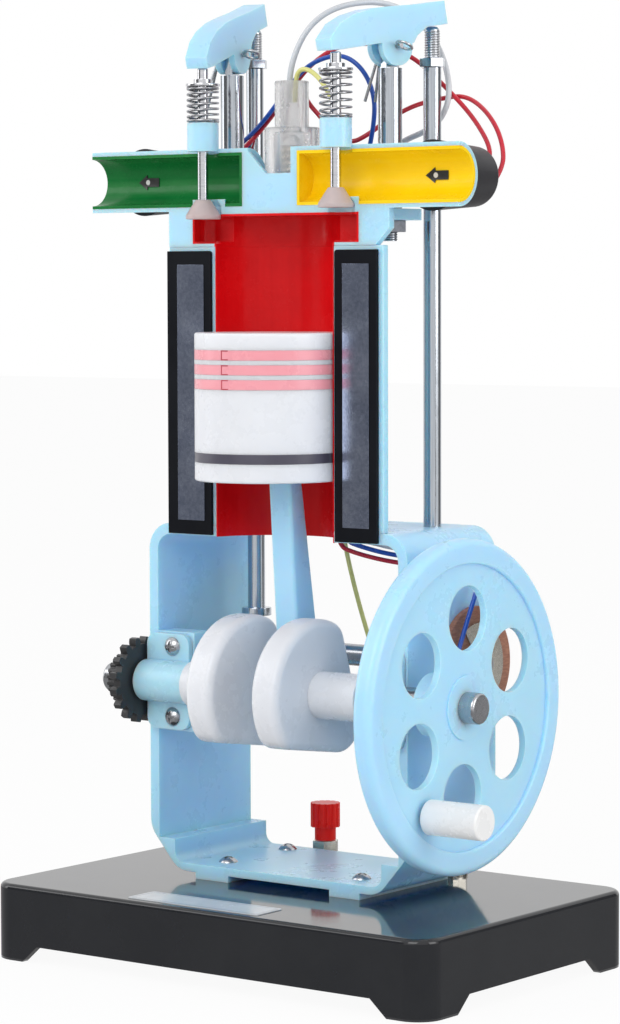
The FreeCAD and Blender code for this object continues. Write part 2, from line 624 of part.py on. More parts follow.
def build_frame():
    """Open box frame of the crankcase, with bearing blocks and all its holes."""
    depth = V(0, FRAME_BACK - SECTION_Y, 0)
    left, right = FRAME_LEFT, FRAME_RIGHT
    outer = prism([V(left + FLOOR_CORNER_X, SECTION_Y, FLOOR_BOTTOM),
                   V(right - FLOOR_CORNER_X, SECTION_Y, FLOOR_BOTTOM),
                   V(right, SECTION_Y, FLOOR_BOTTOM + FLOOR_CORNER_Z), V(right, SECTION_Y, FRAME_TOP),
                   V(left, SECTION_Y, FRAME_TOP), V(left, SECTION_Y, FLOOR_BOTTOM + FLOOR_CORNER_Z)], depth)
    outer = fillet(outer, FRAME_CORNER, lambda edge: abs(edge.Vertexes[0].Y - edge.Vertexes[-1].Y) > 1)
    in_left, in_right = left + FRAME_WALL, right - FRAME_WALL
    inner = prism([V(in_left + LEDGE_WIDTH, SECTION_Y, FLOOR_TOP), V(in_right - LEDGE_WIDTH, SECTION_Y, FLOOR_TOP),
                   V(in_right - LEDGE_WIDTH, SECTION_Y, FLOOR_TOP + LEDGE_HEIGHT),
                   V(in_right, SECTION_Y, FLOOR_TOP + LEDGE_HEIGHT), V(in_right, SECTION_Y, PLATE_UNDER),
                   V(in_left, SECTION_Y, PLATE_UNDER), V(in_left, SECTION_Y, FLOOR_TOP + LEDGE_HEIGHT),
                   V(in_left + LEDGE_WIDTH, SECTION_Y, FLOOR_TOP + LEDGE_HEIGHT)], depth)
    inner = fillet(inner, FRAME_CORNER - FRAME_WALL, lambda edge: abs(edge.Vertexes[0].Y - edge.Vertexes[-1].Y) > 1
                   and edge.CenterOfMass.z > PLATE_UNDER - 1)
    inner = fillet(inner, FRAME_WALL, lambda edge: abs(edge.Vertexes[0].Y - edge.Vertexes[-1].Y) > 1
                   and edge.CenterOfMass.z < FLOOR_TOP + 1)
    frame = outer.cut(inner)
    additions = []
    for pad in (PAD_LEFT, PAD_RIGHT):
        additions.append(box(pad, (SECTION_Y, FRAME_BACK), (BASE_TOP, FLOOR_BOTTOM)))
    block_z = (CRANK_Z - BLOCK_HEIGHT / 2, CRANK_Z + BLOCK_HEIGHT / 2)
    for side in (-1, 1):
        additions.append(box(bearing_block(side), (SECTION_Y, SECTION_Y + BLOCK_DEPTH), block_z))
    frame = join(frame, *additions)
    cutters = [cyl_x((left - 1, right + 1), CRANK_Y, CRANK_Z, SHAFT_RADIUS + RUN_FIT),
               cyl_x((left - 1, right + 1), CAM_Y, CAM_Z, CAM_SHAFT_RADIUS + RUN_FIT),
               cyl_z(BORE_X, CRANK_Y, (PLATE_UNDER - 1, FRAME_TOP + 1), LINER_OUTER),
               cyl_z(EXHAUST_ROD_X, CAM_Y, (PLATE_UNDER - 1, FRAME_TOP + 1), PUSH_RADIUS + RUN_FIT),
               cyl_z(INTAKE_ROD_X, CAM_Y, (PLATE_UNDER - 1, FRAME_TOP + 1), PUSH_RADIUS + RUN_FIT),
               cyl_z(BUNDLE_CENTRE[0], BUNDLE_CENTRE[1], (PLATE_UNDER - 1, FRAME_TOP + 1), BUNDLE_RADIUS),
               cyl_x((right - FRAME_WALL - 1, right + 1), OUTLET_CENTRE[0], OUTLET_CENTRE[1], OUTLET_RADIUS)]
    for side in (-1, 1):
        for rise in (-CAP_SCREW_RISE, CAP_SCREW_RISE):
            reach = (SECTION_Y - 1, SECTION_Y - CAP_THICK + CAP_SCREW_LENGTH)
            cutters.append(cyl_y(cap_screw_x(side), reach, CRANK_Z + rise, SCREW_SHANK_RADIUS))
    for x in BASE_SCREW_X:
        for y in BASE_SCREW_Y:
            cutters.append(cyl_z(x, y, (BASE_TOP - 1, FLOOR_TOP + 1), SCREW_SHANK_RADIUS))
    return trim(frame, *cutters)


def build_bearing_cap(side):
    """Bearing cap: a plate with a half-round boss over the crankshaft."""
    block = bearing_block(side)
    plate_x = (block[0] + CAP_MARGIN, block[1] - CAP_MARGIN)
    half = BLOCK_HEIGHT / 2 - CAP_MARGIN
    plate = box(plate_x, (SECTION_Y - CAP_THICK, SECTION_Y), (CRANK_Z - half, CRANK_Z + half))
    plate = fillet(plate, CAP_CORNER, lambda edge: abs(edge.Vertexes[0].Y - edge.Vertexes[-1].Y) > 1)
    if side < 0:
        boss_x = (plate_x[0], block[1] + BOSS_OVERHANG)
    else:
        boss_x = (block[0] - BOSS_OVERHANG, plate_x[1])
    boss = cyl_x(boss_x, CRANK_Y, CRANK_Z, BOSS_RADIUS)
    front = box((boss_x[0] - 1, boss_x[1] + 1), (CRANK_Y - 2 * BOSS_RADIUS, SECTION_Y),
                (CRANK_Z - 2 * BOSS_RADIUS, CRANK_Z + 2 * BOSS_RADIUS))
    cap = join(plate, boss.common(front))
    cutters = [cyl_x((boss_x[0] - 1, boss_x[1] + 1), CRANK_Y, CRANK_Z, SHAFT_RADIUS + RUN_FIT)]
    for rise in (-CAP_SCREW_RISE, CAP_SCREW_RISE):
        reach = (SECTION_Y - CAP_THICK - 1, SECTION_Y + 1)
        cutters.append(cyl_y(cap_screw_x(side), reach, CRANK_Z + rise, SCREW_SHANK_RADIUS))
    return trim(cap, *cutters)


def build_cap_screws():
    """Four screws that hold the bearing caps."""
    screws = []
    for side in (-1, 1):
        for rise in (-CAP_SCREW_RISE, CAP_SCREW_RISE):
            seat = V(cap_screw_x(side), SECTION_Y - CAP_THICK, CRANK_Z + rise)
            screws.append(pan_screw(seat, V(0, -1, 0), CAP_SCREW_LENGTH))
    return screws


def build_base_screws():
    """Four screws through the crankcase floor into the base."""
    return [pan_screw(V(x, y, FLOOR_TOP), V(0, 0, 1), BASE_SCREW_LENGTH)
            for x in BASE_SCREW_X for y in BASE_SCREW_Y]


# ---------------------------------------------------------------- cylinder
def build_barrel():
    """Half cylinder jacket with a flat wing on each side."""
    barrel = behind(cyl_z(BORE_X, CRANK_Y, (FRAME_TOP, BARREL_TOP), BARREL_OUTER))
    wings = box((WING_LEFT, WING_RIGHT), (SECTION_Y, SECTION_Y + WING_THICK), (FRAME_TOP, BARREL_TOP))
    return trim(join(barrel, wings), cyl_z(BORE_X, CRANK_Y, (FRAME_TOP - 1, BARREL_TOP + 1), LINER_OUTER))


def build_liner():
    """Coloured half liner of the bore, reaching down through the top plate."""
    liner = behind(cyl_z(BORE_X, CRANK_Y, (LINER_BOTTOM, BARREL_TOP), LINER_OUTER))
    return trim(liner, cyl_z(BORE_X, CRANK_Y, (LINER_BOTTOM - 1, BARREL_TOP + 1), BORE_RADIUS))


def front_plate(x, y, z, corner_x):
    """Flat plate with one rounded top corner."""
    plate = box(x, y, z)
    return fillet(plate, PANEL_CORNER, lambda edge: abs(edge.Vertexes[0].Y - edge.Vertexes[-1].Y) > 0.1
                  and abs(edge.CenterOfMass.x - corner_x) < 0.01 and edge.CenterOfMass.z > z[1] - 1)


def build_panels():
    """Dark panel on each wing."""
    y = (SECTION_Y - PANEL_THICK, SECTION_Y)
    z = (PANEL_BOTTOM, PANEL_TOP)
    return [front_plate(PANEL_LEFT, y, z, PANEL_LEFT[1]), front_plate(PANEL_RIGHT, y, z, PANEL_RIGHT[0])]


def build_foils():
    """Bright strip on each dark panel."""
    y = (SECTION_Y - PANEL_THICK - FOIL_THICK, SECTION_Y - PANEL_THICK)
    return [box(x, y, (FOIL_BOTTOM, FOIL_TOP)) for x in (FOIL_LEFT, FOIL_RIGHT)]


# ---------------------------------------------------------------- head
def slab(x, back, z, corner):
    """Slab behind the section plane whose two rear corners are rounded."""
    block = box(x, (SECTION_Y, back), z)
    return fillet(block, corner, lambda edge: abs(edge.Vertexes[0].Z - edge.Vertexes[-1].Z) > 1
                  and edge.CenterOfMass.y > back - 1)


def chamber_block(grow, z):
    """Plan of the combustion chamber, grown by a wall: pocket over the valves and bore."""
    pocket = slab((CHAMBER_LEFT - grow, CHAMBER_RIGHT + grow), SECTION_Y + POCKET_DEPTH + grow, z,
                  POCKET_CORNER + grow)
    return join(pocket, behind(cyl_z(BORE_X, CRANK_Y, z, BORE_RADIUS + CHAMBER_LINING + grow)))


def valve_seat_cutter(x, grow):
    """Space around a closed valve head and the way down below it."""
    profile = [(0, CHAMBER_FLOOR), (VALVE_HEAD_RADIUS + grow, CHAMBER_FLOOR),
               (VALVE_HEAD_RADIUS + grow, VALVE_CLOSED_Z + VALVE_RIM),
               (STEM_RADIUS + grow + VALVE_NECK, VALVE_CLOSED_Z + VALVE_HEAD_HEIGHT - VALVE_NECK),
               (0, SEAT_TOP + PORT_OVERRUN)]
    points = [V(x + radius, CRANK_Y, z) for radius, z in profile]
    outline = Part.makePolygon(points + [points[0]])
    return Part.Face(outline).revolve(V(x, CRANK_Y, 0), V(0, 0, 1), 360)


def pipe_span(side, inset):
    """X range of a pipe: exhaust (-1) or intake (+1), inset at the closed end."""
    if side < 0:
        return EXHAUST_OPEN, EXHAUST_CLOSED - inset
    return INTAKE_CLOSED + inset, INTAKE_OPEN


def build_head():
    """Head casting: front wall, chamber block, flange, middle block and half pipes."""
    z = (BARREL_TOP, HEAD_TOP)
    wall = prism([V(HEAD_LEFT, SECTION_Y, z[0]), V(HEAD_RIGHT - HEAD_CHAMFER, SECTION_Y, z[0]),
                  V(HEAD_RIGHT, SECTION_Y, z[0] + HEAD_CHAMFER), V(HEAD_RIGHT, SECTION_Y, z[1]),
                  V(HEAD_LEFT, SECTION_Y, z[1])], V(0, HEAD_FRONT_WALL, 0))
    block = chamber_block(CASTING_WALL, z)
    flange = slab((FLANGE_LEFT, FLANGE_RIGHT), FLANGE_BACK, (HEAD_TOP - FLANGE_THICK, HEAD_TOP), POST_RADIUS)
    middle = box((EXHAUST_CLOSED - PIPE_END_WALL, INTAKE_CLOSED + PIPE_END_WALL), (SECTION_Y, MIDDLE_BACK),
                 (HEAD_TOP, MIDDLE_TOP))
    gusset = prism([V(EXHAUST_CLOSED, SECTION_Y, MIDDLE_TOP), V(EXHAUST_CLOSED + GUSSET_RUN, SECTION_Y, MIDDLE_TOP),
                    V(EXHAUST_CLOSED, SECTION_Y, MIDDLE_TOP + GUSSET_RUN)], V(0, PIPE_WALL, 0))
    solids = [wall, block, flange, middle, gusset]
    cutters = [chamber_block(0, (CHAMBER_FLOOR, CHAMBER_CEILING)),
               cyl_z(BORE_X, CRANK_Y, (BARREL_TOP - 1, CHAMBER_FLOOR + 1), BORE_RADIUS + CHAMBER_LINING)]
    for side, lamp_x in ((-1, LAMP_X[0]), (1, LAMP_X[1])):
        solids.append(behind(cyl_x(pipe_span(side, 0), SECTION_Y, PIPE_Z, PIPE_OUTER)))
        cutters.append(cyl_x(pipe_span(side, PIPE_END_WALL), SECTION_Y, PIPE_Z, PIPE_INNER))
        cutters.append(cyl_y(lamp_x, (SECTION_Y, CAP_FRONT + PIPE_OUTER), PIPE_Z, LAMP_RADIUS))
    head = trim(join(*solids), *cutters)
    extras = []
    tools = []
    for valve_x in (EXHAUST_X, INTAKE_X):
        extras.append(behind(cyl_z(valve_x, CRANK_Y, (CHAMBER_CEILING, SEAT_TOP), SEAT_RADIUS)))
        extras.append(cyl_z(valve_x, CRANK_Y, (GUIDE_BOTTOM, GUIDE_TOP), GUIDE_RADIUS))
        tools.append(valve_seat_cutter(valve_x, FREE_GAP))
        tools.append(cyl_z(valve_x, CRANK_Y, (GUIDE_BOTTOM - 1, GUIDE_TOP + 1), STEM_RADIUS + RUN_FIT))
    for place in (pivot_place(EXHAUST_X, EXHAUST_ROD_X), pivot_place(INTAKE_X, INTAKE_ROD_X)):
        tools.append(cyl_z(place.x, place.y, (HEAD_TOP - FLANGE_THICK - 1, HEAD_TOP + 1), NUT_STUD_RADIUS))
    return trim(join(head, *extras), *tools)


def build_chamber_lining():
    """Thin coloured lining of the combustion chamber and of the bore below it."""
    skirt = behind(cyl_z(BORE_X, CRANK_Y, (BARREL_TOP, CHAMBER_CEILING), BORE_RADIUS + CHAMBER_LINING))
    outer = join(chamber_block(0, (CHAMBER_FLOOR, CHAMBER_CEILING)), skirt)
    inner = chamber_block(-CHAMBER_LINING, (CHAMBER_FLOOR + CHAMBER_LINING, CHAMBER_CEILING - CHAMBER_LINING))
    tools = [inner, cyl_z(BORE_X, CRANK_Y, (BARREL_TOP - 1, CHAMBER_CEILING - CHAMBER_LINING), BORE_RADIUS)]
    for valve_x in (EXHAUST_X, INTAKE_X):
        tools.append(valve_seat_cutter(valve_x, FREE_GAP))
    return trim(outer, *tools)


def build_pipe_lining(side, valve_x, lamp_x):
    """Coloured lining of one half pipe, closed at its inner end."""
    span = pipe_span(side, PIPE_END_WALL)
    bore = (span[0], span[1] - PIPE_LINING) if side < 0 else (span[0] + PIPE_LINING, span[1])
    lining = behind(cyl_x(span, SECTION_Y, PIPE_Z, PIPE_INNER))
    seat = cyl_z(valve_x, CRANK_Y, (CHAMBER_CEILING, SEAT_TOP), SEAT_RADIUS)
    lamp = cyl_y(lamp_x, (SECTION_Y, CAP_FRONT + PIPE_OUTER), PIPE_Z, LAMP_RADIUS)
    return trim(lining, cyl_x(bore, SECTION_Y, PIPE_Z, PIPE_BORE), seat, lamp,
                cyl_z(valve_x, CRANK_Y, (GUIDE_BOTTOM - PORT_OVERRUN, GUIDE_TOP), GUIDE_RADIUS))


def build_arrows():
    """Flow arrow inside each pipe, pointing towards -X, with a lamp hole."""
    ring = cyl_x((EXHAUST_OPEN, INTAKE_OPEN), SECTION_Y, PIPE_Z, PIPE_BORE)
    ring = ring.cut(cyl_x((EXHAUST_OPEN, INTAKE_OPEN), SECTION_Y, PIPE_Z, PIPE_BORE - ARROW_THICK))
    arrows = []
    for x in LAMP_X:
        tip = x - ARROW_LENGTH * 0.45
        neck = tip + ARROW_HEAD
        tail = tip + ARROW_LENGTH
        points = [V(tip, SECTION_Y, PIPE_Z), V(neck, SECTION_Y, PIPE_Z - ARROW_HEIGHT / 2),
                  V(neck, SECTION_Y, PIPE_Z - ARROW_SHAFT / 2), V(tail, SECTION_Y, PIPE_Z - ARROW_SHAFT / 2),
                  V(tail, SECTION_Y, PIPE_Z + ARROW_SHAFT / 2), V(neck, SECTION_Y, PIPE_Z + ARROW_SHAFT / 2),
                  V(neck, SECTION_Y, PIPE_Z + ARROW_HEIGHT / 2)]
        outline = prism(points, V(0, PIPE_OUTER, 0))
        arrows.append(trim(outline.common(ring), cyl_y(x, (SECTION_Y, SECTION_Y + PIPE_OUTER), PIPE_Z, LAMP_RADIUS)))
    return arrows


def build_lamps():
    """Small light rod through the back of each pipe."""
    return [cyl_y(x, (SECTION_Y + PIPE_BORE - ARROW_THICK, SECTION_Y + PIPE_OUTER + FREE_GAP), PIPE_Z, LAMP_RADIUS)
            for x in LAMP_X]


def build_lamp_caps():
    """Tapered lamp housing behind each pipe."""
    caps = []
    for x in LAMP_X:
        drum = Part.makeCone(CAP_FRONT_RADIUS, CAP_BACK_RADIUS, CAP_BACK - CAP_FRONT, V(x, CAP_FRONT, PIPE_Z),
                             V(0, 1, 0))
        drum = fillet(drum, CAP_EDGE, lambda edge: edge.Closed and edge.CenterOfMass.y > CAP_BACK - 0.1)
        saddle = cyl_x((x - 2 * CAP_FRONT_RADIUS, x + 2 * CAP_FRONT_RADIUS), SECTION_Y, PIPE_Z, PIPE_OUTER)
        lamp = cyl_y(x, (CAP_FRONT, SECTION_Y + PIPE_OUTER + FREE_GAP), PIPE_Z, LAMP_RADIUS)
        caps.append(trim(drum, saddle, lamp))
    return caps


# ---------------------------------------------------------------- valves and rockers
def pivot_place(valve_x, rod_x):
    """Centre of a rocker pivot, on the line from valve to push rod."""
    start = V(valve_x, CRANK_Y, PIVOT_Z)
    along = V(rod_x - valve_x, CAM_Y - CRANK_Y, 0)
    return start + along.normalize() * VALVE_ARM


def rocker_frame(valve_x, rod_x):
    """Placement that carries a rocker drawn along +Y from the origin to its own line."""
    heading = math.degrees(math.atan2(rod_x - valve_x, CAM_Y - CRANK_Y))
    return FreeCAD.Placement(V(valve_x, CRANK_Y, 0), FreeCAD.Rotation(V(0, 0, 1), -heading))


def build_valve(x, drop):
    """Valve stem, lowered by drop from its closed place."""
    stem = cyl_z(x, CRANK_Y, (VALVE_CLOSED_Z + VALVE_RIM - drop, VALVE_TOP_Z - drop), STEM_RADIUS)
    return fillet(stem, 0.6, lambda edge: edge.Closed and edge.CenterOfMass.z > VALVE_TOP_Z - drop - 0.1)


def build_valve_head(x, drop):
    """Clear cone on the lower end of a valve stem."""
    low = VALVE_CLOSED_Z - drop
    rim = cyl_z(x, CRANK_Y, (low, low + VALVE_RIM), VALVE_HEAD_RADIUS)
    cone = cone_z(x, CRANK_Y, (low + VALVE_RIM, low + VALVE_HEAD_HEIGHT), VALVE_HEAD_RADIUS, STEM_RADIUS + 0.8)
    return trim(join(rim, cone), cyl_z(x, CRANK_Y, (low + VALVE_RIM, low + VALVE_HEAD_HEIGHT + 1), STEM_RADIUS))


def build_retainer(x, drop):
    """Spring retainer with a small collar, fixed on the stem."""
    low = RETAINER_Z - drop
    top = low + RETAINER_THICK
    disc = cyl_z(x, CRANK_Y, (low, top), RETAINER_RADIUS)
    collar = cyl_z(x, CRANK_Y, (top, top + RETAINER_COLLAR / 2), RETAINER_COLLAR)
    return trim(join(disc, collar), cyl_z(x, CRANK_Y, (low - 1, top + RETAINER_COLLAR), STEM_RADIUS))


def build_rocker(valve_x, rod_x, tilt):
    """Rocker arm: sloping nose, forked hub and rear arm; tilt lowers the nose."""
    toe = VALVE_TOP_Z + 2 * FREE_GAP
    pad = PUSH_STUD_TOP + FREE_GAP
    outline = [(-ROCKER_NOSE, toe + ROCKER_SLOT), (0.8 - ROCKER_NOSE, toe - FREE_GAP), (0.0, toe)]
    outline += [(s, PIVOT_Z + rise) for s, rise in ROCKER_BELLY]
    outline += [(ROCKER_PAD, pad - 3 * FREE_GAP), (ROCKER_REAR, pad + 2 * FREE_GAP)]
    outline += [(s, PIVOT_Z + rise) for s, rise in ROCKER_BACK]
    half = ROCKER_WIDTH / 2
    body = prism([V(-half, s, z) for s, z in outline], V(ROCKER_WIDTH, 0, 0))
    hub = cyl_x((-half, half), VALVE_ARM, PIVOT_Z, ROCKER_HUB)
    rocker = join(body, hub)
    slot = box((-ROCKER_SLOT / 2, ROCKER_SLOT / 2), (VALVE_ARM - 1.6 * ROCKER_HUB, VALVE_ARM + 1.2 * ROCKER_HUB),
               (PIVOT_Z - 2 * ROCKER_HUB, PIVOT_Z + TONGUE_WIDTH / 2 + 1.2))
    bore = cyl_x((-half - 1, half + 1), VALVE_ARM, PIVOT_Z, COTTER_RADIUS + RUN_FIT)
    rocker = trim(rocker, slot, bore)
    rocker.rotate(V(0, VALVE_ARM, PIVOT_Z), V(1, 0, 0), tilt)
    rocker.Placement = rocker_frame(valve_x, rod_x).multiply(rocker.Placement)
    return rocker


def build_post(valve_x, rod_x):
    """Round post with a flat tongue that carries a rocker."""
    neck = PIVOT_Z - ROCKER_HUB - 2 * FREE_GAP
    post = cyl_z(0, VALVE_ARM, (HEAD_TOP, neck), POST_RADIUS)
    stud = cyl_z(0, VALVE_ARM, (HEAD_TOP - FLANGE_THICK - NUT_HEIGHT - NUT_STUD_BELOW, HEAD_TOP), NUT_STUD_RADIUS)
    thick = (-TONGUE_THICK / 2, TONGUE_THICK / 2)
    tongue = box(thick, (VALVE_ARM - TONGUE_WIDTH / 2, VALVE_ARM + TONGUE_WIDTH / 2), (neck, PIVOT_Z))
    round_top = cyl_x(thick, VALVE_ARM, PIVOT_Z, TONGUE_WIDTH / 2)
    post = trim(join(post, stud, tongue, round_top),
                cyl_x((-POST_RADIUS, POST_RADIUS), VALVE_ARM, PIVOT_Z, COTTER_RADIUS))
    post.Placement = rocker_frame(valve_x, rod_x)
    return post


def build_cotter(valve_x, rod_x):
    """Split pin: hinge pin of a rocker with an eye on one side and bent legs on the other."""
    out = ROCKER_WIDTH / 2 + FREE_GAP
    shank = cyl_x((-out - COTTER_RADIUS, out + 2 * COTTER_RADIUS), VALVE_ARM, PIVOT_Z, COTTER_RADIUS)
    eye = Part.makeTorus(COTTER_EYE, COTTER_WIRE, V(out + COTTER_EYE + COTTER_WIRE, VALVE_ARM, PIVOT_Z), V(0, 0.5, 1))
    pieces = [shank, eye]
    for splay in COTTER_SPLAY:
        start = V(-out - COTTER_WIRE, VALVE_ARM, PIVOT_Z)
        end = V(-out - COTTER_LEG[0], VALVE_ARM + splay, PIVOT_Z - COTTER_LEG[1])
        pieces.append(Part.makeCylinder(COTTER_WIRE, (end - start).Length, start, end - start))
    cotter = join(*pieces)
    cotter.Placement = rocker_frame(valve_x, rod_x)
    return cotter


def build_post_nut(valve_x, rod_x):
    """Square nut under the flange that holds a rocker post."""
    half = NUT_FLATS / 2
    top = HEAD_TOP - FLANGE_THICK
    nut = trim(box((-half, half), (VALVE_ARM - half, VALVE_ARM + half), (top - NUT_HEIGHT, top)),
               cyl_z(0, VALVE_ARM, (top - NUT_HEIGHT - 1, top + 1), NUT_STUD_RADIUS))
    nut.Placement = rocker_frame(valve_x, rod_x)
    return nut


def build_push_rod(x, lift):
    """Push rod with a flat tappet at its foot, raised by lift."""
    foot = TAPPET_BOTTOM + lift
    shaft = cyl_z(x, CAM_Y, (foot + TAPPET_HEIGHT, PUSH_TOP + lift), PUSH_RADIUS)
    tappet = cyl_z(x, CAM_Y, (foot, foot + TAPPET_HEIGHT), TAPPET_RADIUS)
    socket = cyl_z(x, CAM_Y, (PUSH_TOP + lift - PUSH_STUD_DEPTH, PUSH_TOP + lift + 1), PUSH_STUD_RADIUS)
    return trim(join(shaft, tappet), socket)


def build_adjuster(x, lift):
    """Adjusting stud in the top of a push rod."""
    stud = cyl_z(x, CAM_Y, (PUSH_TOP + lift - PUSH_STUD_DEPTH, PUSH_STUD_TOP + lift), PUSH_STUD_RADIUS)
    return fillet(stud, PUSH_STUD_RADIUS * 0.6,
                  lambda edge: edge.Closed and edge.CenterOfMass.z > PUSH_STUD_TOP + lift - 0.1)


def build_adjuster_nut(x, lift):
    """Lock nut of an adjusting stud."""
    z = (PUSH_TOP + lift, PUSH_TOP + lift + PUSH_NUT_HEIGHT)
    return trim(hexagon(x, CAM_Y, z, PUSH_NUT_FLATS), cyl_z(x, CAM_Y, (z[0] - 1, z[1] + 1), PUSH_STUD_RADIUS))


# ---------------------------------------------------------------- spark plug lamp
def build_plug_socket():
    """Clear cup of the spark plug lamp."""
    floor = MIDDLE_TOP
    cup = cyl_z(PLUG_X, PLUG_Y, (floor, PLUG_SOCKET_TOP), PLUG_SOCKET_RADIUS)
    clear = box((INTAKE_CLOSED - FREE_GAP, PLUG_X + 2 * PLUG_SOCKET_RADIUS),
                (SECTION_Y - PLUG_SOCKET_RADIUS, SECTION_Y + PIPE_OUTER + FREE_GAP), (floor, PIPE_Z + PIPE_OUTER + 0.2))
    well = cyl_z(PLUG_X, PLUG_Y, (floor, PLUG_SOCKET_TOP - PLUG_SOCKET_WALL), PLUG_CAP_RADIUS - PLUG_SOCKET_WALL)
    seat = cyl_z(PLUG_X, PLUG_Y, (PLUG_SOCKET_TOP - PLUG_SOCKET_WALL - 1, PLUG_SOCKET_TOP + 1), PLUG_CAP_BORE)
    return trim(cup, clear, well, seat)


def build_plug_cap():
    """Clear upper barrel of the spark plug lamp, where its wires come out."""
    cap = cyl_z(PLUG_X, PLUG_Y, (PLUG_SOCKET_TOP, PLUG_CAP_TOP), PLUG_CAP_RADIUS)
    cap = fillet(cap, 0.5, lambda edge: edge.Closed and edge.CenterOfMass.z > PLUG_CAP_TOP - 0.1)
    return trim(cap, cyl_z(PLUG_X, PLUG_Y, (PLUG_SOCKET_TOP - 1, PLUG_CAP_TOP + 1), PLUG_CAP_BORE))


def build_bulb():
    """Bulb with a threaded base inside the clear cup."""
    low = MIDDLE_TOP
    bulb = cyl_z(PLUG_X, PLUG_Y, (low, low + BULB_HEIGHT), BULB_RADIUS - BULB_THREAD)
    threads = []
    z = low + BULB_CAP / 2
    while z < low + BULB_HEIGHT - BULB_CAP:
        threads.append(cyl_z(PLUG_X, PLUG_Y, (z, z + BULB_THREAD_PITCH / 2), BULB_RADIUS))
        z += BULB_THREAD_PITCH
    return join(bulb, *threads)


# ---------------------------------------------------------------- crankshaft
def web_blank(x):
    """Crank web: heavy round end, straight flaring flanks and a nose round the crankpin."""
    nose = V(x[0], PIN_Y, PIN_Z)
    corners = []
    for side in (-1, 1):
        away = V(0, *on_circle(1.0, THROW_ANGLE + 180 + side * WEB_FLARE))
        outward = V(0, *on_circle(1.0, THROW_ANGLE + 180 + side * (WEB_FLARE + 90)))
        touch = nose + outward * WEB_NOSE
        from_axis = touch - V(x[0], CRANK_Y, CRANK_Z)
        along = -from_axis.dot(away)
        run = along + math.sqrt(along ** 2 + WEB_RADIUS ** 2 - from_axis.Length ** 2)
        corners.append((touch, touch + away * run))
    middle = V(0, *on_circle(1.0, THROW_ANGLE))
    back = V(x[0], CRANK_Y, CRANK_Z) - middle * WEB_RADIUS
    tip = nose + middle * WEB_NOSE
    edges = [Part.Arc(corners[0][1], back, corners[1][1]).toShape(), Part.makeLine(corners[1][1], corners[1][0]),
             Part.Arc(corners[1][0], tip, corners[0][0]).toShape(), Part.makeLine(corners[0][0], corners[0][1])]
    web = Part.Face(Part.Wire(edges)).extrude(V(x[1] - x[0], 0, 0))
    ends = [corner[1] for corner in corners]
    return fillet(web, WEB_CORNER, lambda edge: edge.BoundBox.XLength > 1
                  and min(math.hypot(edge.CenterOfMass.y - end.y, edge.CenterOfMass.z - end.z) for end in ends) < 0.1)


def build_web(side):
    """White crank web with its journal, bored for the steel shaft."""
    span = WEB_LEFT if side < 0 else WEB_RIGHT
    web = fillet(web_blank(span), WEB_ROUND, lambda edge: edge.BoundBox.XLength < 1e-6)
    block = bearing_block(side)
    if side < 0:
        journal = (block[1] + BOSS_OVERHANG + FREE_GAP, span[0] + 0.01)
        bore = (journal[0] - 1, span[0] + WEB_BORE_DEPTH)
    else:
        journal = (span[1] - 0.01, block[0] - BOSS_OVERHANG - FREE_GAP)
        bore = (span[1] - WEB_BORE_DEPTH, journal[1] + 1)
    return trim(join(web, cyl_x(journal, CRANK_Y, CRANK_Z, JOURNAL_RADIUS)),
                cyl_x(bore, CRANK_Y, CRANK_Z, SHAFT_RADIUS))


def build_shaft(side):
    """Steel half shaft on one side, with a rounded outer end."""
    if side < 0:
        span = (SHAFT_LEFT_END, WEB_LEFT[0] + WEB_BORE_DEPTH)
        end = span[0]
    else:
        span = (WEB_RIGHT[1] - WEB_BORE_DEPTH, SHAFT_RIGHT_END)
        end = span[1]
    shaft = cyl_x(span, CRANK_Y, CRANK_Z, SHAFT_RADIUS)
    return fillet(shaft, SHAFT_END_ROUND, lambda edge: edge.Closed and abs(edge.CenterOfMass.x - end) < 0.1)


def build_crank_gear():
    """Small timing gear with a ribbed hub outside it."""
    wheel = gear((GEAR_LEFT, GEAR_RIGHT), CRANK_Y, CRANK_Z, CRANK_TEETH, CAM_ANGLE)
    hub = cyl_x((GEAR_LEFT - HUB_WIDTH, GEAR_LEFT), CRANK_Y, CRANK_Z, HUB_RADIUS)
    cutters = [cyl_x((SHAFT_LEFT_END, FRAME_LEFT), CRANK_Y, CRANK_Z, SHAFT_RADIUS)]
    for rib in range(HUB_RIBS):
        y, z = on_circle(HUB_RADIUS, 360 * rib / HUB_RIBS)
        cutters.append(cyl_x((GEAR_LEFT - HUB_WIDTH - 1, GEAR_LEFT), CRANK_Y + y, CRANK_Z + z, HUB_RIB_DEPTH))
    return trim(join(wheel, hub), *cutters)


def build_cam_gear():
    """Large timing gear, in mesh with the small one."""
    gap = CAM_ANGLE + 180 + 180 / CAM_TEETH
    wheel = gear((GEAR_LEFT, GEAR_RIGHT), CAM_Y, CAM_Z, CAM_TEETH, gap)
    hub = cyl_x((GEAR_LEFT - HUB_WIDTH / 2, GEAR_LEFT), CAM_Y, CAM_Z, HUB_RADIUS)
    return trim(join(wheel, hub), cyl_x((CAM_SHAFT_LEFT_END - 1, FRAME_LEFT), CAM_Y, CAM_Z, CAM_SHAFT_RADIUS))


def build_camshaft():
    """Steel camshaft through both walls."""
    end = FRAME_RIGHT + BOARD_THICK + PLATE_THICK + 2 * FREE_GAP + 3 * WIPER_THICK
    return cyl_x((CAM_SHAFT_LEFT_END, end), CAM_Y, CAM_Z, CAM_SHAFT_RADIUS)


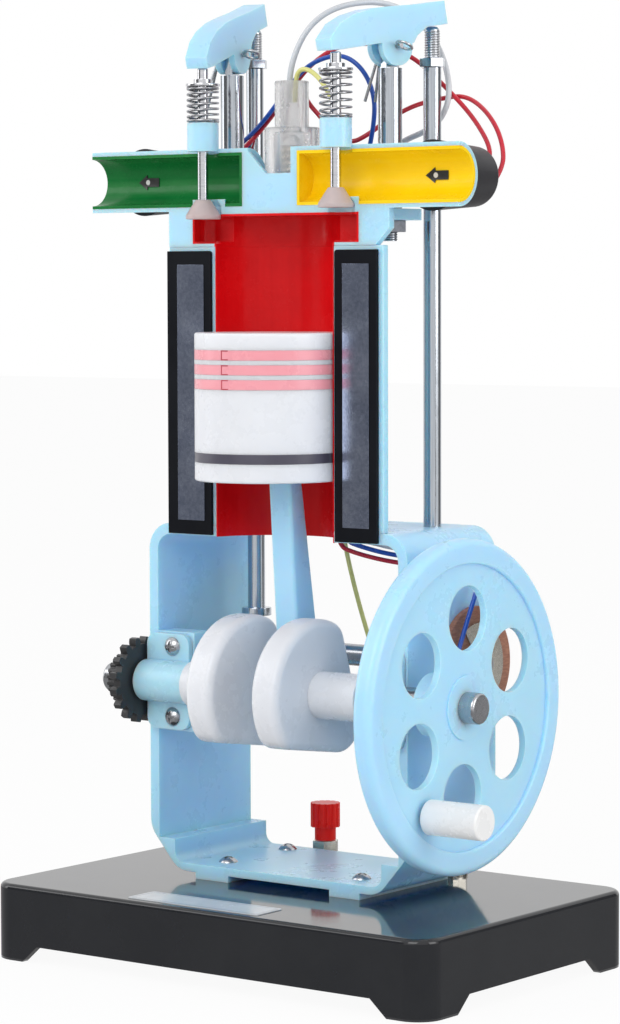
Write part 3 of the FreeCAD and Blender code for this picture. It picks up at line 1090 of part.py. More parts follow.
def build_cam(x, angle):
    """Cam with a nose that points at an angle from +Y towards +Z."""
    span = (x - CAM_WIDTH / 2, x + CAM_WIDTH / 2)
    reach = CAM_BASE_RADIUS + CAM_LIFT - CAM_NOSE_RADIUS
    y, z = on_circle(reach, angle)
    lean = math.degrees(math.asin((CAM_BASE_RADIUS - CAM_NOSE_RADIUS) / reach))
    points = []
    for radius, centre, side in ((CAM_BASE_RADIUS, (0, 0), -1), (CAM_NOSE_RADIUS, (y, z), -1),
                                 (CAM_NOSE_RADIUS, (y, z), 1), (CAM_BASE_RADIUS, (0, 0), 1)):
        dy, dz = on_circle(radius, angle + side * (90 - lean))
        points.append(V(span[0], CAM_Y + centre[0] + dy, CAM_Z + centre[1] + dz))
    flanks = prism(points, V(CAM_WIDTH, 0, 0))
    cam = join(cyl_x(span, CAM_Y, CAM_Z, CAM_BASE_RADIUS), flanks,
               cyl_x(span, CAM_Y + y, CAM_Z + z, CAM_NOSE_RADIUS))
    return trim(cam, cyl_x((span[0] - 1, span[1] + 1), CAM_Y, CAM_Z, CAM_SHAFT_RADIUS))


def build_flywheel():
    """Flywheel: rim, thin web with round windows, hub."""
    rim_x = (WHEEL_FACE - WHEEL_WIDTH, WHEEL_FACE)
    web_x = (WHEEL_FACE - WHEEL_WEB_SET_BACK - WHEEL_WEB, WHEEL_FACE - WHEEL_WEB_SET_BACK)
    disc = cyl_x(rim_x, CRANK_Y, CRANK_Z, WHEEL_RADIUS)
    disc = fillet(disc, WHEEL_EDGE, lambda edge: edge.Closed)
    inside = WHEEL_RADIUS - RIM_THICK
    disc = disc.cut([cyl_x((web_x[1], rim_x[1] + 1), CRANK_Y, CRANK_Z, inside),
                     cyl_x((rim_x[0] - 1, web_x[0]), CRANK_Y, CRANK_Z, inside)])
    disc = fillet(disc, WHEEL_STEP, lambda edge: edge.Closed and abs(edge.CenterOfMass.x - rim_x[1]) < 0.01
                  and edge.BoundBox.YLength < 2 * inside + 1)
    hub_face = WHEEL_FACE - WHEEL_HUB_SET_BACK
    hub = cyl_x((hub_face - WHEEL_HUB_LENGTH, hub_face), CRANK_Y, CRANK_Z, WHEEL_HUB_RADIUS)
    cutters = [cyl_x((hub_face - WHEEL_HUB_LENGTH - 1, hub_face + 1), CRANK_Y, CRANK_Z, SHAFT_RADIUS)]
    for hole in range(WHEEL_HOLES):
        y, z = on_circle(WHEEL_HOLE_CIRCLE, WHEEL_HOLE_ANGLE + 360 * hole / WHEEL_HOLES)
        cutters.append(cyl_x((rim_x[0], rim_x[1]), CRANK_Y + y, CRANK_Z + z, WHEEL_HOLE_RADIUS))
    y, z = on_circle(HANDLE_CIRCLE, HANDLE_ANGLE)
    cutters.append(cyl_x(rim_x, CRANK_Y + y, CRANK_Z + z, HANDLE_PIN_RADIUS))
    return trim(join(disc, hub), *cutters)


def handle_x():
    """X range of the turning handle sleeve."""
    start = WHEEL_FACE - WHEEL_WEB_SET_BACK + HANDLE_SHOULDER + FREE_GAP
    return start, start + HANDLE_LENGTH


def build_handle_pin():
    """Steel pin of the handle, riveted through the web."""
    y, z = on_circle(HANDLE_CIRCLE, HANDLE_ANGLE)
    face = WHEEL_FACE - WHEEL_WEB_SET_BACK
    back = face - WHEEL_WEB
    pin = cyl_x((back, handle_x()[0] + HANDLE_PIN_DEPTH - FREE_GAP), CRANK_Y + y, CRANK_Z + z, HANDLE_PIN_RADIUS)
    head = cyl_x((back - HANDLE_RIVET, back), CRANK_Y + y, CRANK_Z + z, HANDLE_PIN_RADIUS + HANDLE_RIVET)
    shoulder = cyl_x((face, face + HANDLE_SHOULDER), CRANK_Y + y, CRANK_Z + z, HANDLE_PIN_RADIUS + HANDLE_RIVET)
    return join(pin, head, shoulder)


def build_handle_sleeve():
    """White sleeve that turns on the handle pin."""
    y, z = on_circle(HANDLE_CIRCLE, HANDLE_ANGLE)
    span = handle_x()
    sleeve = cyl_x(span, CRANK_Y + y, CRANK_Z + z, HANDLE_RADIUS)
    sleeve = fillet(sleeve, HANDLE_EDGE, lambda edge: edge.Closed and edge.CenterOfMass.x > span[1] - 0.1)
    return trim(sleeve, cyl_x((span[0] - 1, span[0] + HANDLE_PIN_DEPTH), CRANK_Y + y, CRANK_Z + z,
                              HANDLE_PIN_RADIUS + RUN_FIT))


# ---------------------------------------------------------------- connecting rod and piston
def build_rod():
    """Connecting rod, drawn upright under the wrist pin and then tilted to the crankpin."""
    x = (ROD_X - ROD_WIDTH / 2, ROD_X + ROD_WIDTH / 2)
    top, bottom = ROD_TOP_DEPTH / 2, ROD_BOTTOM_DEPTH / 2
    shank = prism([V(x[0], -top, 0), V(x[0], top, 0), V(x[0], bottom, -ROD_LENGTH), V(x[0], -bottom, -ROD_LENGTH)],
                  V(ROD_WIDTH, 0, 0))
    shank = fillet(shank, ROD_EDGE, lambda edge: edge.BoundBox.ZLength > ROD_LENGTH / 2)
    rod = join(shank, cyl_x(x, 0, 0, ROD_EYE_RADIUS), cyl_x(x, 0, -ROD_LENGTH, ROD_END_RADIUS))
    rod = trim(rod, cyl_x((x[0] - 1, x[1] + 1), 0, 0, WRIST_PIN_RADIUS + RUN_FIT),
               cyl_x((x[0] - 1, x[1] + 1), 0, -ROD_LENGTH, CRANKPIN_RADIUS))
    rod.rotate(V(0, 0, 0), V(1, 0, 0), ROD_TILT)
    rod.translate(V(0, CRANK_Y, WRIST_Z))
    return rod


def build_crankpin():
    """Crankpin, carried in the rod's big end between the webs."""
    return cyl_x((WEB_LEFT[1] + FREE_GAP, WEB_RIGHT[0] - FREE_GAP), PIN_Y, PIN_Z, CRANKPIN_RADIUS)


def ring_levels():
    """Centre height of each ring below the crown and its height."""
    levels = [(PISTON_TOP - FIRST_RING - RING_PITCH * step, RING_HEIGHT) for step in range(3)]
    return levels, (PISTON_TOP - OIL_RING, OIL_RING_HEIGHT)


def ring_solid(level, height):
    """Piston ring that fills its groove."""
    z = (level - height / 2, level + height / 2)
    return cyl_z(BORE_X, CRANK_Y, z, PISTON_RADIUS).cut(cyl_z(BORE_X, CRANK_Y, z, PISTON_RADIUS - RING_DEPTH))


def build_piston():
    """Hollow piston with ring grooves and two wrist pin bosses."""
    low = PISTON_TOP - PISTON_HEIGHT
    piston = cyl_z(BORE_X, CRANK_Y, (low, PISTON_TOP), PISTON_RADIUS)
    piston = fillet(piston, PISTON_EDGE, lambda edge: edge.Closed)
    inside = PISTON_RADIUS - PISTON_WALL
    piston = piston.cut(cyl_z(BORE_X, CRANK_Y, (low - 1, PISTON_TOP - PISTON_CROWN), inside))
    boss = cyl_x((BORE_X - inside - 1, BORE_X + inside + 1), CRANK_Y, WRIST_Z, WRIST_BOSS_RADIUS)
    boss = boss.common(cyl_z(BORE_X, CRANK_Y, (low, PISTON_TOP), inside + 0.5))
    gap = box((ROD_X - ROD_WIDTH / 2 - 2 * FREE_GAP, ROD_X + ROD_WIDTH / 2 + 2 * FREE_GAP),
              (CRANK_Y - PISTON_RADIUS, CRANK_Y + PISTON_RADIUS), (low - 1, PISTON_TOP - PISTON_CROWN))
    levels, oil = ring_levels()
    grooves = [ring_solid(level, height) for level, height in levels + [oil]]
    piston = join(piston, boss.cut(gap))
    return trim(piston, cyl_x(wrist_pin_x(), CRANK_Y, WRIST_Z, WRIST_PIN_RADIUS), *grooves)


def wrist_pin_x():
    """X range of the wrist pin, ending inside the piston wall."""
    reach = PISTON_RADIUS - PISTON_WALL - WRIST_PIN_BITE
    return BORE_X - reach, BORE_X + reach


def build_wrist_pin():
    """Wrist pin fixed in the piston bosses."""
    return cyl_x(wrist_pin_x(), CRANK_Y, WRIST_Z, WRIST_PIN_RADIUS)


# ---------------------------------------------------------------- contact breaker
def build_board():
    """Round insulating board on the outside of the right wall."""
    x = (FRAME_RIGHT, FRAME_RIGHT + BOARD_THICK)
    return trim(cyl_x(x, CAM_Y, CAM_Z, BOARD_RADIUS),
                cyl_x((x[0] - 1, x[1] + 1), CAM_Y, CAM_Z, CAM_SHAFT_RADIUS + FREE_GAP))


def build_contact_plate():
    """Bright contact plate with a sector left out."""
    x = (FRAME_RIGHT + BOARD_THICK, FRAME_RIGHT + BOARD_THICK + PLATE_THICK)
    plate = cyl_x(x, CAM_Y, CAM_Z, PLATE_RADIUS)
    points = [V(x[0], CAM_Y, CAM_Z)]
    for step in (0.0, 0.5, 1.0):
        y, z = on_circle(2 * PLATE_RADIUS, PLATE_SECTOR_START + step * PLATE_SECTOR)
        points.append(V(x[0], CAM_Y + y, CAM_Z + z))
    sector = prism(points, V(PLATE_THICK, 0, 0))
    return trim(plate, sector, cyl_x((x[0] - 1, x[1] + 1), CAM_Y, CAM_Z, CAM_SHAFT_RADIUS + 2 * FREE_GAP))


def build_wiper():
    """Contact arm on the end of the camshaft."""
    start = FRAME_RIGHT + BOARD_THICK + PLATE_THICK + FREE_GAP
    x = (start, start + WIPER_THICK)
    arm = box(x, (-WIPER_WIDTH / 2, WIPER_WIDTH / 2), (0, WIPER_LENGTH))
    arm.rotate(V(0, 0, 0), V(1, 0, 0), WIPER_ANGLE)
    arm.translate(V(0, CAM_Y, CAM_Z))
    collar = cyl_x((x[0], x[1] + WIPER_THICK), CAM_Y, CAM_Z, CAM_SHAFT_RADIUS + WIPER_COLLAR)
    return trim(join(arm, collar), cyl_x((x[0] - 1, x[1] + 3), CAM_Y, CAM_Z, CAM_SHAFT_RADIUS))


# ---------------------------------------------------------------- binding posts
def build_binding_stud(x):
    """Nickel stud with its washer on the base."""
    reach = (BASE_TOP - BASE_WALL - BINDING_STUD_BELOW, BASE_TOP + BINDING_STUD_ABOVE)
    stud = cyl_z(x, BINDING_Y, reach, BINDING_STUD_RADIUS)
    washer = cyl_z(x, BINDING_Y, (BASE_TOP, BINDING_WASHER_TOP), BINDING_WASHER_RADIUS)
    nut = hexagon(x, BINDING_Y, (BINDING_WASHER_TOP, BINDING_NECK_BOTTOM - FREE_GAP), BINDING_NUT_FLATS)
    return join(stud, washer, nut)


def build_binding_cap(x):
    """Coloured cap that screws down the stud."""
    grip = fluted(x, BINDING_Y, (BINDING_CAP_BOTTOM, BINDING_CAP_TOP), BINDING_CAP_RADIUS, BINDING_FLUTES,
                  BINDING_FLUTE)
    neck = cyl_z(x, BINDING_Y, (BINDING_NECK_BOTTOM, BINDING_CAP_BOTTOM), BINDING_NECK_RADIUS)
    bore = cyl_z(x, BINDING_Y, (BINDING_NECK_BOTTOM - 1, BASE_TOP + BINDING_STUD_ABOVE + FREE_GAP),
                 BINDING_STUD_RADIUS + RUN_FIT)
    return trim(join(grip, neck), bore)


# ---------------------------------------------------------------- output
def build_all():
    """Every node by name; a list is a node of several solids."""
    parts = {
        "base_shell": build_base(),
        "label_plate": build_label(),
        "screws": build_base_screws() + build_cap_screws(),
        "crankcase_frame": build_frame(),
        "bearing_caps": [build_bearing_cap(-1), build_bearing_cap(1)],
        "cylinder_barrel": build_barrel(),
        "cylinder_liner": build_liner(),
        "jacket_panels": build_panels(),
        "jacket_strips": build_foils(),
        "cylinder_head": build_head(),
        "chamber_lining": build_chamber_lining(),
        "exhaust_lining": build_pipe_lining(-1, EXHAUST_X, LAMP_X[0]),
        "intake_lining": build_pipe_lining(1, INTAKE_X, LAMP_X[1]),
        "flow_arrows": build_arrows(),
        "pipe_lamps": build_lamps(),
        "lamp_caps": build_lamp_caps(),
        "rocker_posts": [build_post(EXHAUST_X, EXHAUST_ROD_X), build_post(INTAKE_X, INTAKE_ROD_X)],
        "post_nuts": [build_post_nut(EXHAUST_X, EXHAUST_ROD_X), build_post_nut(INTAKE_X, INTAKE_ROD_X)],
        "cotter_pins": [build_cotter(EXHAUST_X, EXHAUST_ROD_X), build_cotter(INTAKE_X, INTAKE_ROD_X)],
        "plug_socket": build_plug_socket(),
        "plug_cap": build_plug_cap(),
        "plug_bulb": build_bulb(),
        "contact_board": build_board(),
        "contact_plate": build_contact_plate(),
        "contact_wiper": build_wiper(),
        "binding_studs": [build_binding_stud(x) for x in BINDING_X],
        "binding_cap_red": build_binding_cap(BINDING_X[0]),
        "binding_cap_black": build_binding_cap(BINDING_X[1]),
        "crank_webs": [build_web(-1), build_web(1)],
        "crankshaft": [build_shaft(-1), build_shaft(1)],
        "crank_gear": build_crank_gear(),
        "flywheel": build_flywheel(),
        "handle_pin": build_handle_pin(),
        "handle_sleeve": build_handle_sleeve(),
        "camshaft": build_camshaft(),
        "cam_gear": build_cam_gear(),
        "cams": [build_cam(EXHAUST_ROD_X, 90.0), build_cam(INTAKE_ROD_X, -20.0)],
        "piston_body": build_piston(),
        "piston_rings": [ring_solid(level, height) for level, height in ring_levels()[0]],
        "oil_ring": ring_solid(*ring_levels()[1]),
        "wrist_pin": build_wrist_pin(),
        "connecting_rod": build_rod(),
        "crankpin": build_crankpin(),
        "wire_red": [tube(RED_LAMP_TO_LAMP, WIRE_RADIUS, "red lamp to lamp"),
                     tube(RED_PLUG_TO_LAMP, WIRE_RADIUS, "red plug to lamp"),
                     tube(RED_LAMP_TO_BOARD, WIRE_RADIUS, "red lamp to board")],
        "wire_blue": tube(BLUE_LAMP_TO_BOARD, WIRE_RADIUS, "blue"),
        "wire_yellow": tube(YELLOW_PLUG_TO_POST, WIRE_RADIUS, "yellow"),
        "wire_white": tube(WHITE_LEAD, LEAD_RADIUS, "white"),
    }
    trains = (("exhaust", EXHAUST_X, EXHAUST_ROD_X, VALVE_OPEN, EXHAUST_PUSH, EXHAUST_TILT),
              ("intake", INTAKE_X, INTAKE_ROD_X, 0.0, 0.0, 0.0))
    for name, valve_x, rod_x, drop, lift, tilt in trains:
        parts[name + "_valve_stem"] = [build_valve(valve_x, drop), build_retainer(valve_x, drop)]
        parts[name + "_valve_head"] = build_valve_head(valve_x, drop)
        parts[name + "_spring"] = spring(valve_x, CRANK_Y, (GUIDE_TOP, RETAINER_Z - drop))
        parts[name + "_rocker"] = build_rocker(valve_x, rod_x, tilt)
        parts[name + "_push_rod"] = [build_push_rod(rod_x, lift), build_adjuster(rod_x, lift),
                                     build_adjuster_nut(rod_x, lift)]
    return parts


def main():
    """Write one STEP file per node."""
    os.makedirs("parts", exist_ok=True)
    for name, shape in build_all().items():
        solids = shape if isinstance(shape, list) else [shape]
        if len(solids) > 1:
            node = Part.makeCompound(solids)
        else:
            node = solids[0]
        node.exportStep("parts/" + name + ".step")


main()
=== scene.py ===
"""Looks of a sectioned four-stroke teaching engine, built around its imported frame.

X runs along the crankshaft towards the flywheel, -Y is the cut-away front and +Z is up. Meshes, the
studio and the finishes are in metres; the fields of the sub-assemblies are in millimetres and degrees.
Every CAD node gets a finish. Wires, springs, the lamp's bulb and the blank label film take the place
of their nodes, and threads, solder beads and ring-gap lines are added.
"""

from __future__ import annotations

import json
import logging
import math
from collections.abc import Callable, Iterable, Sequence
from dataclasses import dataclass, field
from enum import Enum

import bmesh
import bpy
from mathutils import Matrix, Quaternion, Vector

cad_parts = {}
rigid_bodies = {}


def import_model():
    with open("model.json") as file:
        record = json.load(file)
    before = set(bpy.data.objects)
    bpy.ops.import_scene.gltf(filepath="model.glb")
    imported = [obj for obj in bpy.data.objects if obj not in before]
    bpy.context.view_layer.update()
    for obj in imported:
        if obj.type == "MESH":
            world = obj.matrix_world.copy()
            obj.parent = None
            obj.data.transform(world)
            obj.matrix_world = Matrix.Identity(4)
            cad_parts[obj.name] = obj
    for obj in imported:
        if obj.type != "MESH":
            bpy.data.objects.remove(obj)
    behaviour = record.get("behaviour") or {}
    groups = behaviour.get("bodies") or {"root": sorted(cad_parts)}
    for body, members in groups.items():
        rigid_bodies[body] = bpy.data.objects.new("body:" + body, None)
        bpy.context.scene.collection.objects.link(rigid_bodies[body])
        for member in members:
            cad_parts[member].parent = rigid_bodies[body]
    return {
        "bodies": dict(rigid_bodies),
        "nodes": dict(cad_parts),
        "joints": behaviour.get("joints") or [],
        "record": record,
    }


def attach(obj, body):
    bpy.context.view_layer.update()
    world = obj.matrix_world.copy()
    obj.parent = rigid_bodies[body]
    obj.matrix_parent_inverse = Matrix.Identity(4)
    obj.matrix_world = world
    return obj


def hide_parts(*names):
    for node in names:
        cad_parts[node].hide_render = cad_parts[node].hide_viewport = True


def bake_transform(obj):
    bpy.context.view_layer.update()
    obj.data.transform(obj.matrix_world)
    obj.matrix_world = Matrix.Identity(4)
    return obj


MM = 0.001
Point = tuple[float, float, float]
Colour = tuple[float, float, float]
Looks = tuple[tuple[str, str, float], ...]  # node, finish, rounding of its edges in millimetres
WHITE: Colour = (1.0, 1.0, 1.0)
BLACK: Colour = (0.0, 0.0, 0.0)
DUST: Colour = (0.75, 0.74, 0.72)
WELD_REACH = 1e-6  # metres between corners that are joined
FLAT_TURN = 0.5  # degrees between faces that are joined
FLAT_WEIGHT = 90  # how strongly large faces rule the smoothed normals
ROUND_BAR = 80.0  # degrees under which the faces round a bar or a thread are smoothed
LOG = logging.getLogger("engine_model")


class Side(Enum):
    """The two valve trains."""

    EXHAUST = "exhaust"
    INTAKE = "intake"


class Grain(Enum):
    """Direction of a machined grain, as the stretch of its noise along X, Y and Z."""

    ALONG_X = (60.0, 4200.0, 4200.0)
    ALONG_Z = (4200.0, 4200.0, 45.0)
    ROUND_X = (5200.0, 90.0, 90.0)
    ROUND_Z = (90.0, 90.0, 5200.0)
    NONE = (700.0, 700.0, 700.0)


# ------------------------------------------------------------------ node tools
class Graph:
    """Short calls for making and linking the nodes of one tree."""

    def __init__(self, tree: bpy.types.NodeTree) -> None:
        """Keeps the tree."""
        self.tree = tree

    def node(self, kind: str, feeds: dict[str, object] | None = None, **settings: object) -> bpy.types.Node:
        """Adds a node, sets its properties and fills its sockets.

        Args:
            kind: the node type, without its "ShaderNode" prefix.
            feeds: input socket name to a value or to the output socket that feeds it.
            settings: properties of the node.

        Returns:
            The new node.
        """
        made = self.tree.nodes.new("ShaderNode" + kind)
        for key, value in settings.items():
            setattr(made, key, value)
        for name, value in (feeds or {}).items():
            self.feed(made.inputs[name], value)
        return made

    def feed(self, socket: bpy.types.NodeSocket, value: object) -> None:
        """Links or sets one input socket.

        Args:
            socket: the input.
            value: an output socket, a number, or a tuple of numbers.
        """
        if isinstance(value, bpy.types.NodeSocket):
            self.tree.links.new(value, socket)
        elif isinstance(value, tuple) and len(value) == 3 and socket.type == "RGBA":
            socket.default_value = (*value, 1.0)
        else:
            socket.default_value = value

    def calc(self, operation: str, first: object, second: object = 0.0,
             clamp: bool = False) -> bpy.types.NodeSocket:
        """Adds a Math node.

        Args:
            operation: the Math node's operation.
            first: its first value.
            second: its second value.
            clamp: whether the result is kept between 0 and 1.

        Returns:
            The result's socket.
        """
        made = self.node("Math", operation=operation, use_clamp=clamp)
        self.feed(made.inputs[0], first)
        self.feed(made.inputs[1], second)
        return made.outputs[0]

    def blend(self, share: object, first: object, second: object) -> bpy.types.NodeSocket:
        """Mixes two colours.

        Args:
            share: how much of the second colour shows.
            first: colour at 0.
            second: colour at 1.

        Returns:
            The mixed colour's socket.
        """
        made = self.node("Mix", data_type="RGBA")
        self.feed(made.inputs[0], share)
        self.feed(made.inputs[6], first)
        self.feed(made.inputs[7], second)
        return made.outputs[2]

    def span(self, value: object, low: float, high: float, to_low: object,
             to_high: object) -> bpy.types.NodeSocket:
        """Maps a value from one range to another, clamped.

        Args:
            value: what is mapped.
            low: start of its range.
            high: end of its range.
            to_low: result at low.
            to_high: result at high.

        Returns:
            The mapped value's socket.
        """
        feeds = {"Value": value, "From Min": low, "From Max": high, "To Min": to_low, "To Max": to_high}
        return self.node("MapRange", feeds).outputs[0]

    def noise(self, vector: object, scale: object, detail: float = 3.0,
              roughness: float = 0.5) -> bpy.types.NodeSocket:
        """Adds a noise texture.

        Args:
            vector: where it is read.
            scale: its scale.
            detail: its octaves.
            roughness: the weight of the finer octaves.

        Returns:
            The noise value's socket.
        """
        feeds = {"Vector": vector, "Scale": scale, "Detail": detail, "Roughness": roughness}
        return self.node("TexNoise", feeds).outputs[0]

    def place(self) -> bpy.types.NodeSocket:
        """Position on the piece, in metres."""
        return self.node("TexCoord").outputs["Object"]


SocketSpec = dict[str, tuple[str, object]]


def shader_group(name: str, inputs: SocketSpec, outputs: SocketSpec,
                 fill: Callable[[Graph, bpy.types.Node, bpy.types.Node], None]) -> bpy.types.NodeTree:
    """Makes a shader group once and hands out the same one afterwards.

    Args:
        name: the group's name.
        inputs: input name to socket kind and default.
        outputs: output name to socket kind and None.
        fill: adds the nodes between the group's input and output node.

    Returns:
        The group.
    """
    made = bpy.data.node_groups.get(name)
    if made:
        return made
    made = bpy.data.node_groups.new(name, "ShaderNodeTree")
    for label, (kind, default) in inputs.items():
        socket = made.interface.new_socket(name=label, in_out="INPUT", socket_type="NodeSocket" + kind)
        socket.default_value = default
    for label, (kind, _) in outputs.items():
        made.interface.new_socket(name=label, in_out="OUTPUT", socket_type="NodeSocket" + kind)
    fill(Graph(made), made.nodes.new("NodeGroupInput"), made.nodes.new("NodeGroupOutput"))
    return made


def moulded_skin() -> bpy.types.NodeTree:
    """Group: slow waves, fine grain and cloudiness of a moulded skin.

    Returns:
        The group.
    """

    def fill(graph: Graph, given: bpy.types.Node, result: bpy.types.Node) -> None:
        """Adds the group's nodes.

        Args:
            graph: the group's graph.
            given: its input node.
            result: its output node.
        """
        place = graph.place()
        wave = graph.noise(place, given.outputs["Wave Scale"], 2.0)
        grain = graph.noise(place, given.outputs["Grain Scale"], 3.0)
        cloud = graph.noise(place, given.outputs["Cloud Scale"], 4.0, 0.6)
        fine = graph.calc("MULTIPLY", grain, given.outputs["Grain Share"])
        graph.feed(result.inputs["Height"], graph.calc("ADD", wave, fine))
        graph.feed(result.inputs["Cloud"], graph.span(cloud, 0.35, 0.68, 0.0, 1.0))

    return shader_group("MouldedSkin",
                        {"Wave Scale": ("Float", 60.0), "Grain Scale": ("Float", 2500.0),
                         "Grain Share": ("Float", 0.1), "Cloud Scale": ("Float", 30.0)},
                        {"Height": ("Float", None), "Cloud": ("Float", None)}, fill)


def handled_film() -> bpy.types.NodeTree:
    """Group: roughness that varies with smears and small rubbed spots.

    Returns:
        The group.
    """

    def fill(graph: Graph, given: bpy.types.Node, result: bpy.types.Node) -> None:
        """Adds the group's nodes.

        Args:
            graph: the group's graph.
            given: its input node.
            result: its output node.
        """
        place = graph.place()
        smear = graph.noise(place, given.outputs["Scale"], 5.0, 0.65)
        spots = graph.noise(place, graph.calc("MULTIPLY", given.outputs["Scale"], 9.0), 2.0)
        smeared = graph.span(smear, 0.4, 0.7, 0.0, 0.8)
        mask = graph.calc("ADD", smeared, graph.span(spots, 0.6, 0.75, 0.0, 0.35), True)
        made = graph.node("Mix", data_type="FLOAT")
        graph.feed(made.inputs[0], mask)
        graph.feed(made.inputs[2], given.outputs["Clean"])
        graph.feed(made.inputs[3], given.outputs["Handled"])
        graph.feed(result.inputs["Roughness"], made.outputs[0])
        graph.feed(result.inputs["Mask"], mask)

    return shader_group("HandledFilm",
                        {"Scale": ("Float", 45.0), "Clean": ("Float", 0.2), "Handled": ("Float", 0.4)},
                        {"Roughness": ("Float", None), "Mask": ("Float", None)}, fill)


def worn_edge() -> bpy.types.NodeTree:
    """Group: mask along sharp edges, broken up by noise.

    Returns:
        The group.
    """

    def fill(graph: Graph, given: bpy.types.Node, result: bpy.types.Node) -> None:
        """Adds the group's nodes.

        Args:
            graph: the group's graph.
            given: its input node.
            result: its output node.
        """
        soft = graph.node("Bevel", {"Radius": given.outputs["Width"]}, samples=4)
        sharp = graph.node("NewGeometry").outputs["Normal"]
        made = graph.node("VectorMath", operation="DOT_PRODUCT")
        graph.feed(made.inputs[0], soft.outputs[0])
        graph.feed(made.inputs[1], sharp)
        edge = graph.span(made.outputs["Value"], 0.995, 0.8, 0.0, 1.0)
        broken = graph.span(graph.noise(graph.place(), 420.0, 3.0), 0.35, 0.6, 0.35, 1.0)
        worn = graph.calc("MULTIPLY", edge, broken)
        graph.feed(result.inputs["Mask"], graph.calc("MULTIPLY", worn, given.outputs["Amount"], True))

    return shader_group("WornEdge", {"Width": ("Float", 0.0006), "Amount": ("Float", 0.5)},
                        {"Mask": ("Float", None)}, fill)


def settled_dust() -> bpy.types.NodeTree:
    """Group: mask of fine dust on faces that look up.

    Returns:
        The group.
    """

    def fill(graph: Graph, given: bpy.types.Node, result: bpy.types.Node) -> None:
        """Adds the group's nodes.

        Args:
            graph: the group's graph.
            given: its input node.
            result: its output node.
        """
        made = graph.node("SeparateXYZ", {"Vector": graph.node("NewGeometry").outputs["Normal"]})
        upward = graph.span(made.outputs["Z"], 0.5, 1.0, 0.0, 1.0)
        speck = graph.span(graph.noise(graph.place(), 1900.0, 2.0, 0.7), 0.56, 0.7, 0.0, 1.0)
        haze = graph.span(graph.noise(graph.place(), 70.0, 3.0), 0.4, 0.75, 0.0, 0.35)
        cover = graph.calc("MULTIPLY", upward, graph.calc("ADD", speck, haze))
        graph.feed(result.inputs["Mask"], graph.calc("MULTIPLY", cover, given.outputs["Amount"], True))

    return shader_group("SettledDust", {"Amount": ("Float", 0.1)}, {"Mask": ("Float", None)}, fill)


def machined_grain() -> bpy.types.NodeTree:
    """Group: height and streaks of a grain that runs one way.

    Returns:
        The group.
    """

    def fill(graph: Graph, given: bpy.types.Node, result: bpy.types.Node) -> None:
        """Adds the group's nodes.

        Args:
            graph: the group's graph.
            given: its input node.
            result: its output node.
        """
        stretched = graph.node("VectorMath", operation="MULTIPLY")
        graph.feed(stretched.inputs[0], graph.place())
        graph.feed(stretched.inputs[1], given.outputs["Stretch"])
        lines = graph.noise(stretched.outputs[0], 1.0, 3.0, 0.6)
        graph.feed(result.inputs["Height"], lines)
        graph.feed(result.inputs["Streak"], graph.span(lines, 0.4, 0.62, 0.0, 1.0))

    return shader_group("MachinedGrain", {"Stretch": ("Vector", (1000.0, 1000.0, 50.0))},
                        {"Height": ("Float", None), "Streak": ("Float", None)}, fill)


def group_node(graph: Graph, group: bpy.types.NodeTree,
               feeds: dict[str, object] | None = None) -> bpy.types.Node:
    """Places a group in a material.

    Args:
        graph: the material's graph.
        group: the group.
        feeds: its inputs.

    Returns:
        The group node.
    """
    made = graph.node("Group", node_tree=group)
    for name, value in (feeds or {}).items():
        graph.feed(made.inputs[name], value)
    return made


def new_material(name: str) -> tuple[bpy.types.Material, Graph, bpy.types.Node]:
    """Makes a material with an empty Principled shader.

    Args:
        name: the material's name.

    Returns:
        The material, its graph and its Principled node.
    """
    made = bpy.data.materials.new(name)
    made.use_nodes = True
    made.node_tree.nodes.clear()
    graph = Graph(made.node_tree)
    shader = graph.node("BsdfPrincipled")
    graph.node("OutputMaterial", {"Surface": shader.outputs[0]})
    return made, graph, shader


def cover(graph: Graph, shader: bpy.types.Node, colour: object, film: bpy.types.Node, height: object,
          relief: float, plain: dict[str, object] | None = None) -> None:
    """Feeds the sockets of a finish.

    Args:
        graph: the material's graph.
        shader: its Principled node.
        colour: the colour over the surface.
        film: the handled film, which gives the roughness.
        height: the height over the surface.
        relief: how deep that height goes.
        plain: further sockets, each with one value all over.
    """
    bump = graph.node("Bump", {"Height": height, "Distance": relief, "Strength": 1.0})
    fed = {"Base Color": colour, "Roughness": film.outputs["Roughness"], "Normal": bump.outputs[0]}
    for name, value in (fed | (plain or {})).items():
        graph.feed(shader.inputs[name], value)


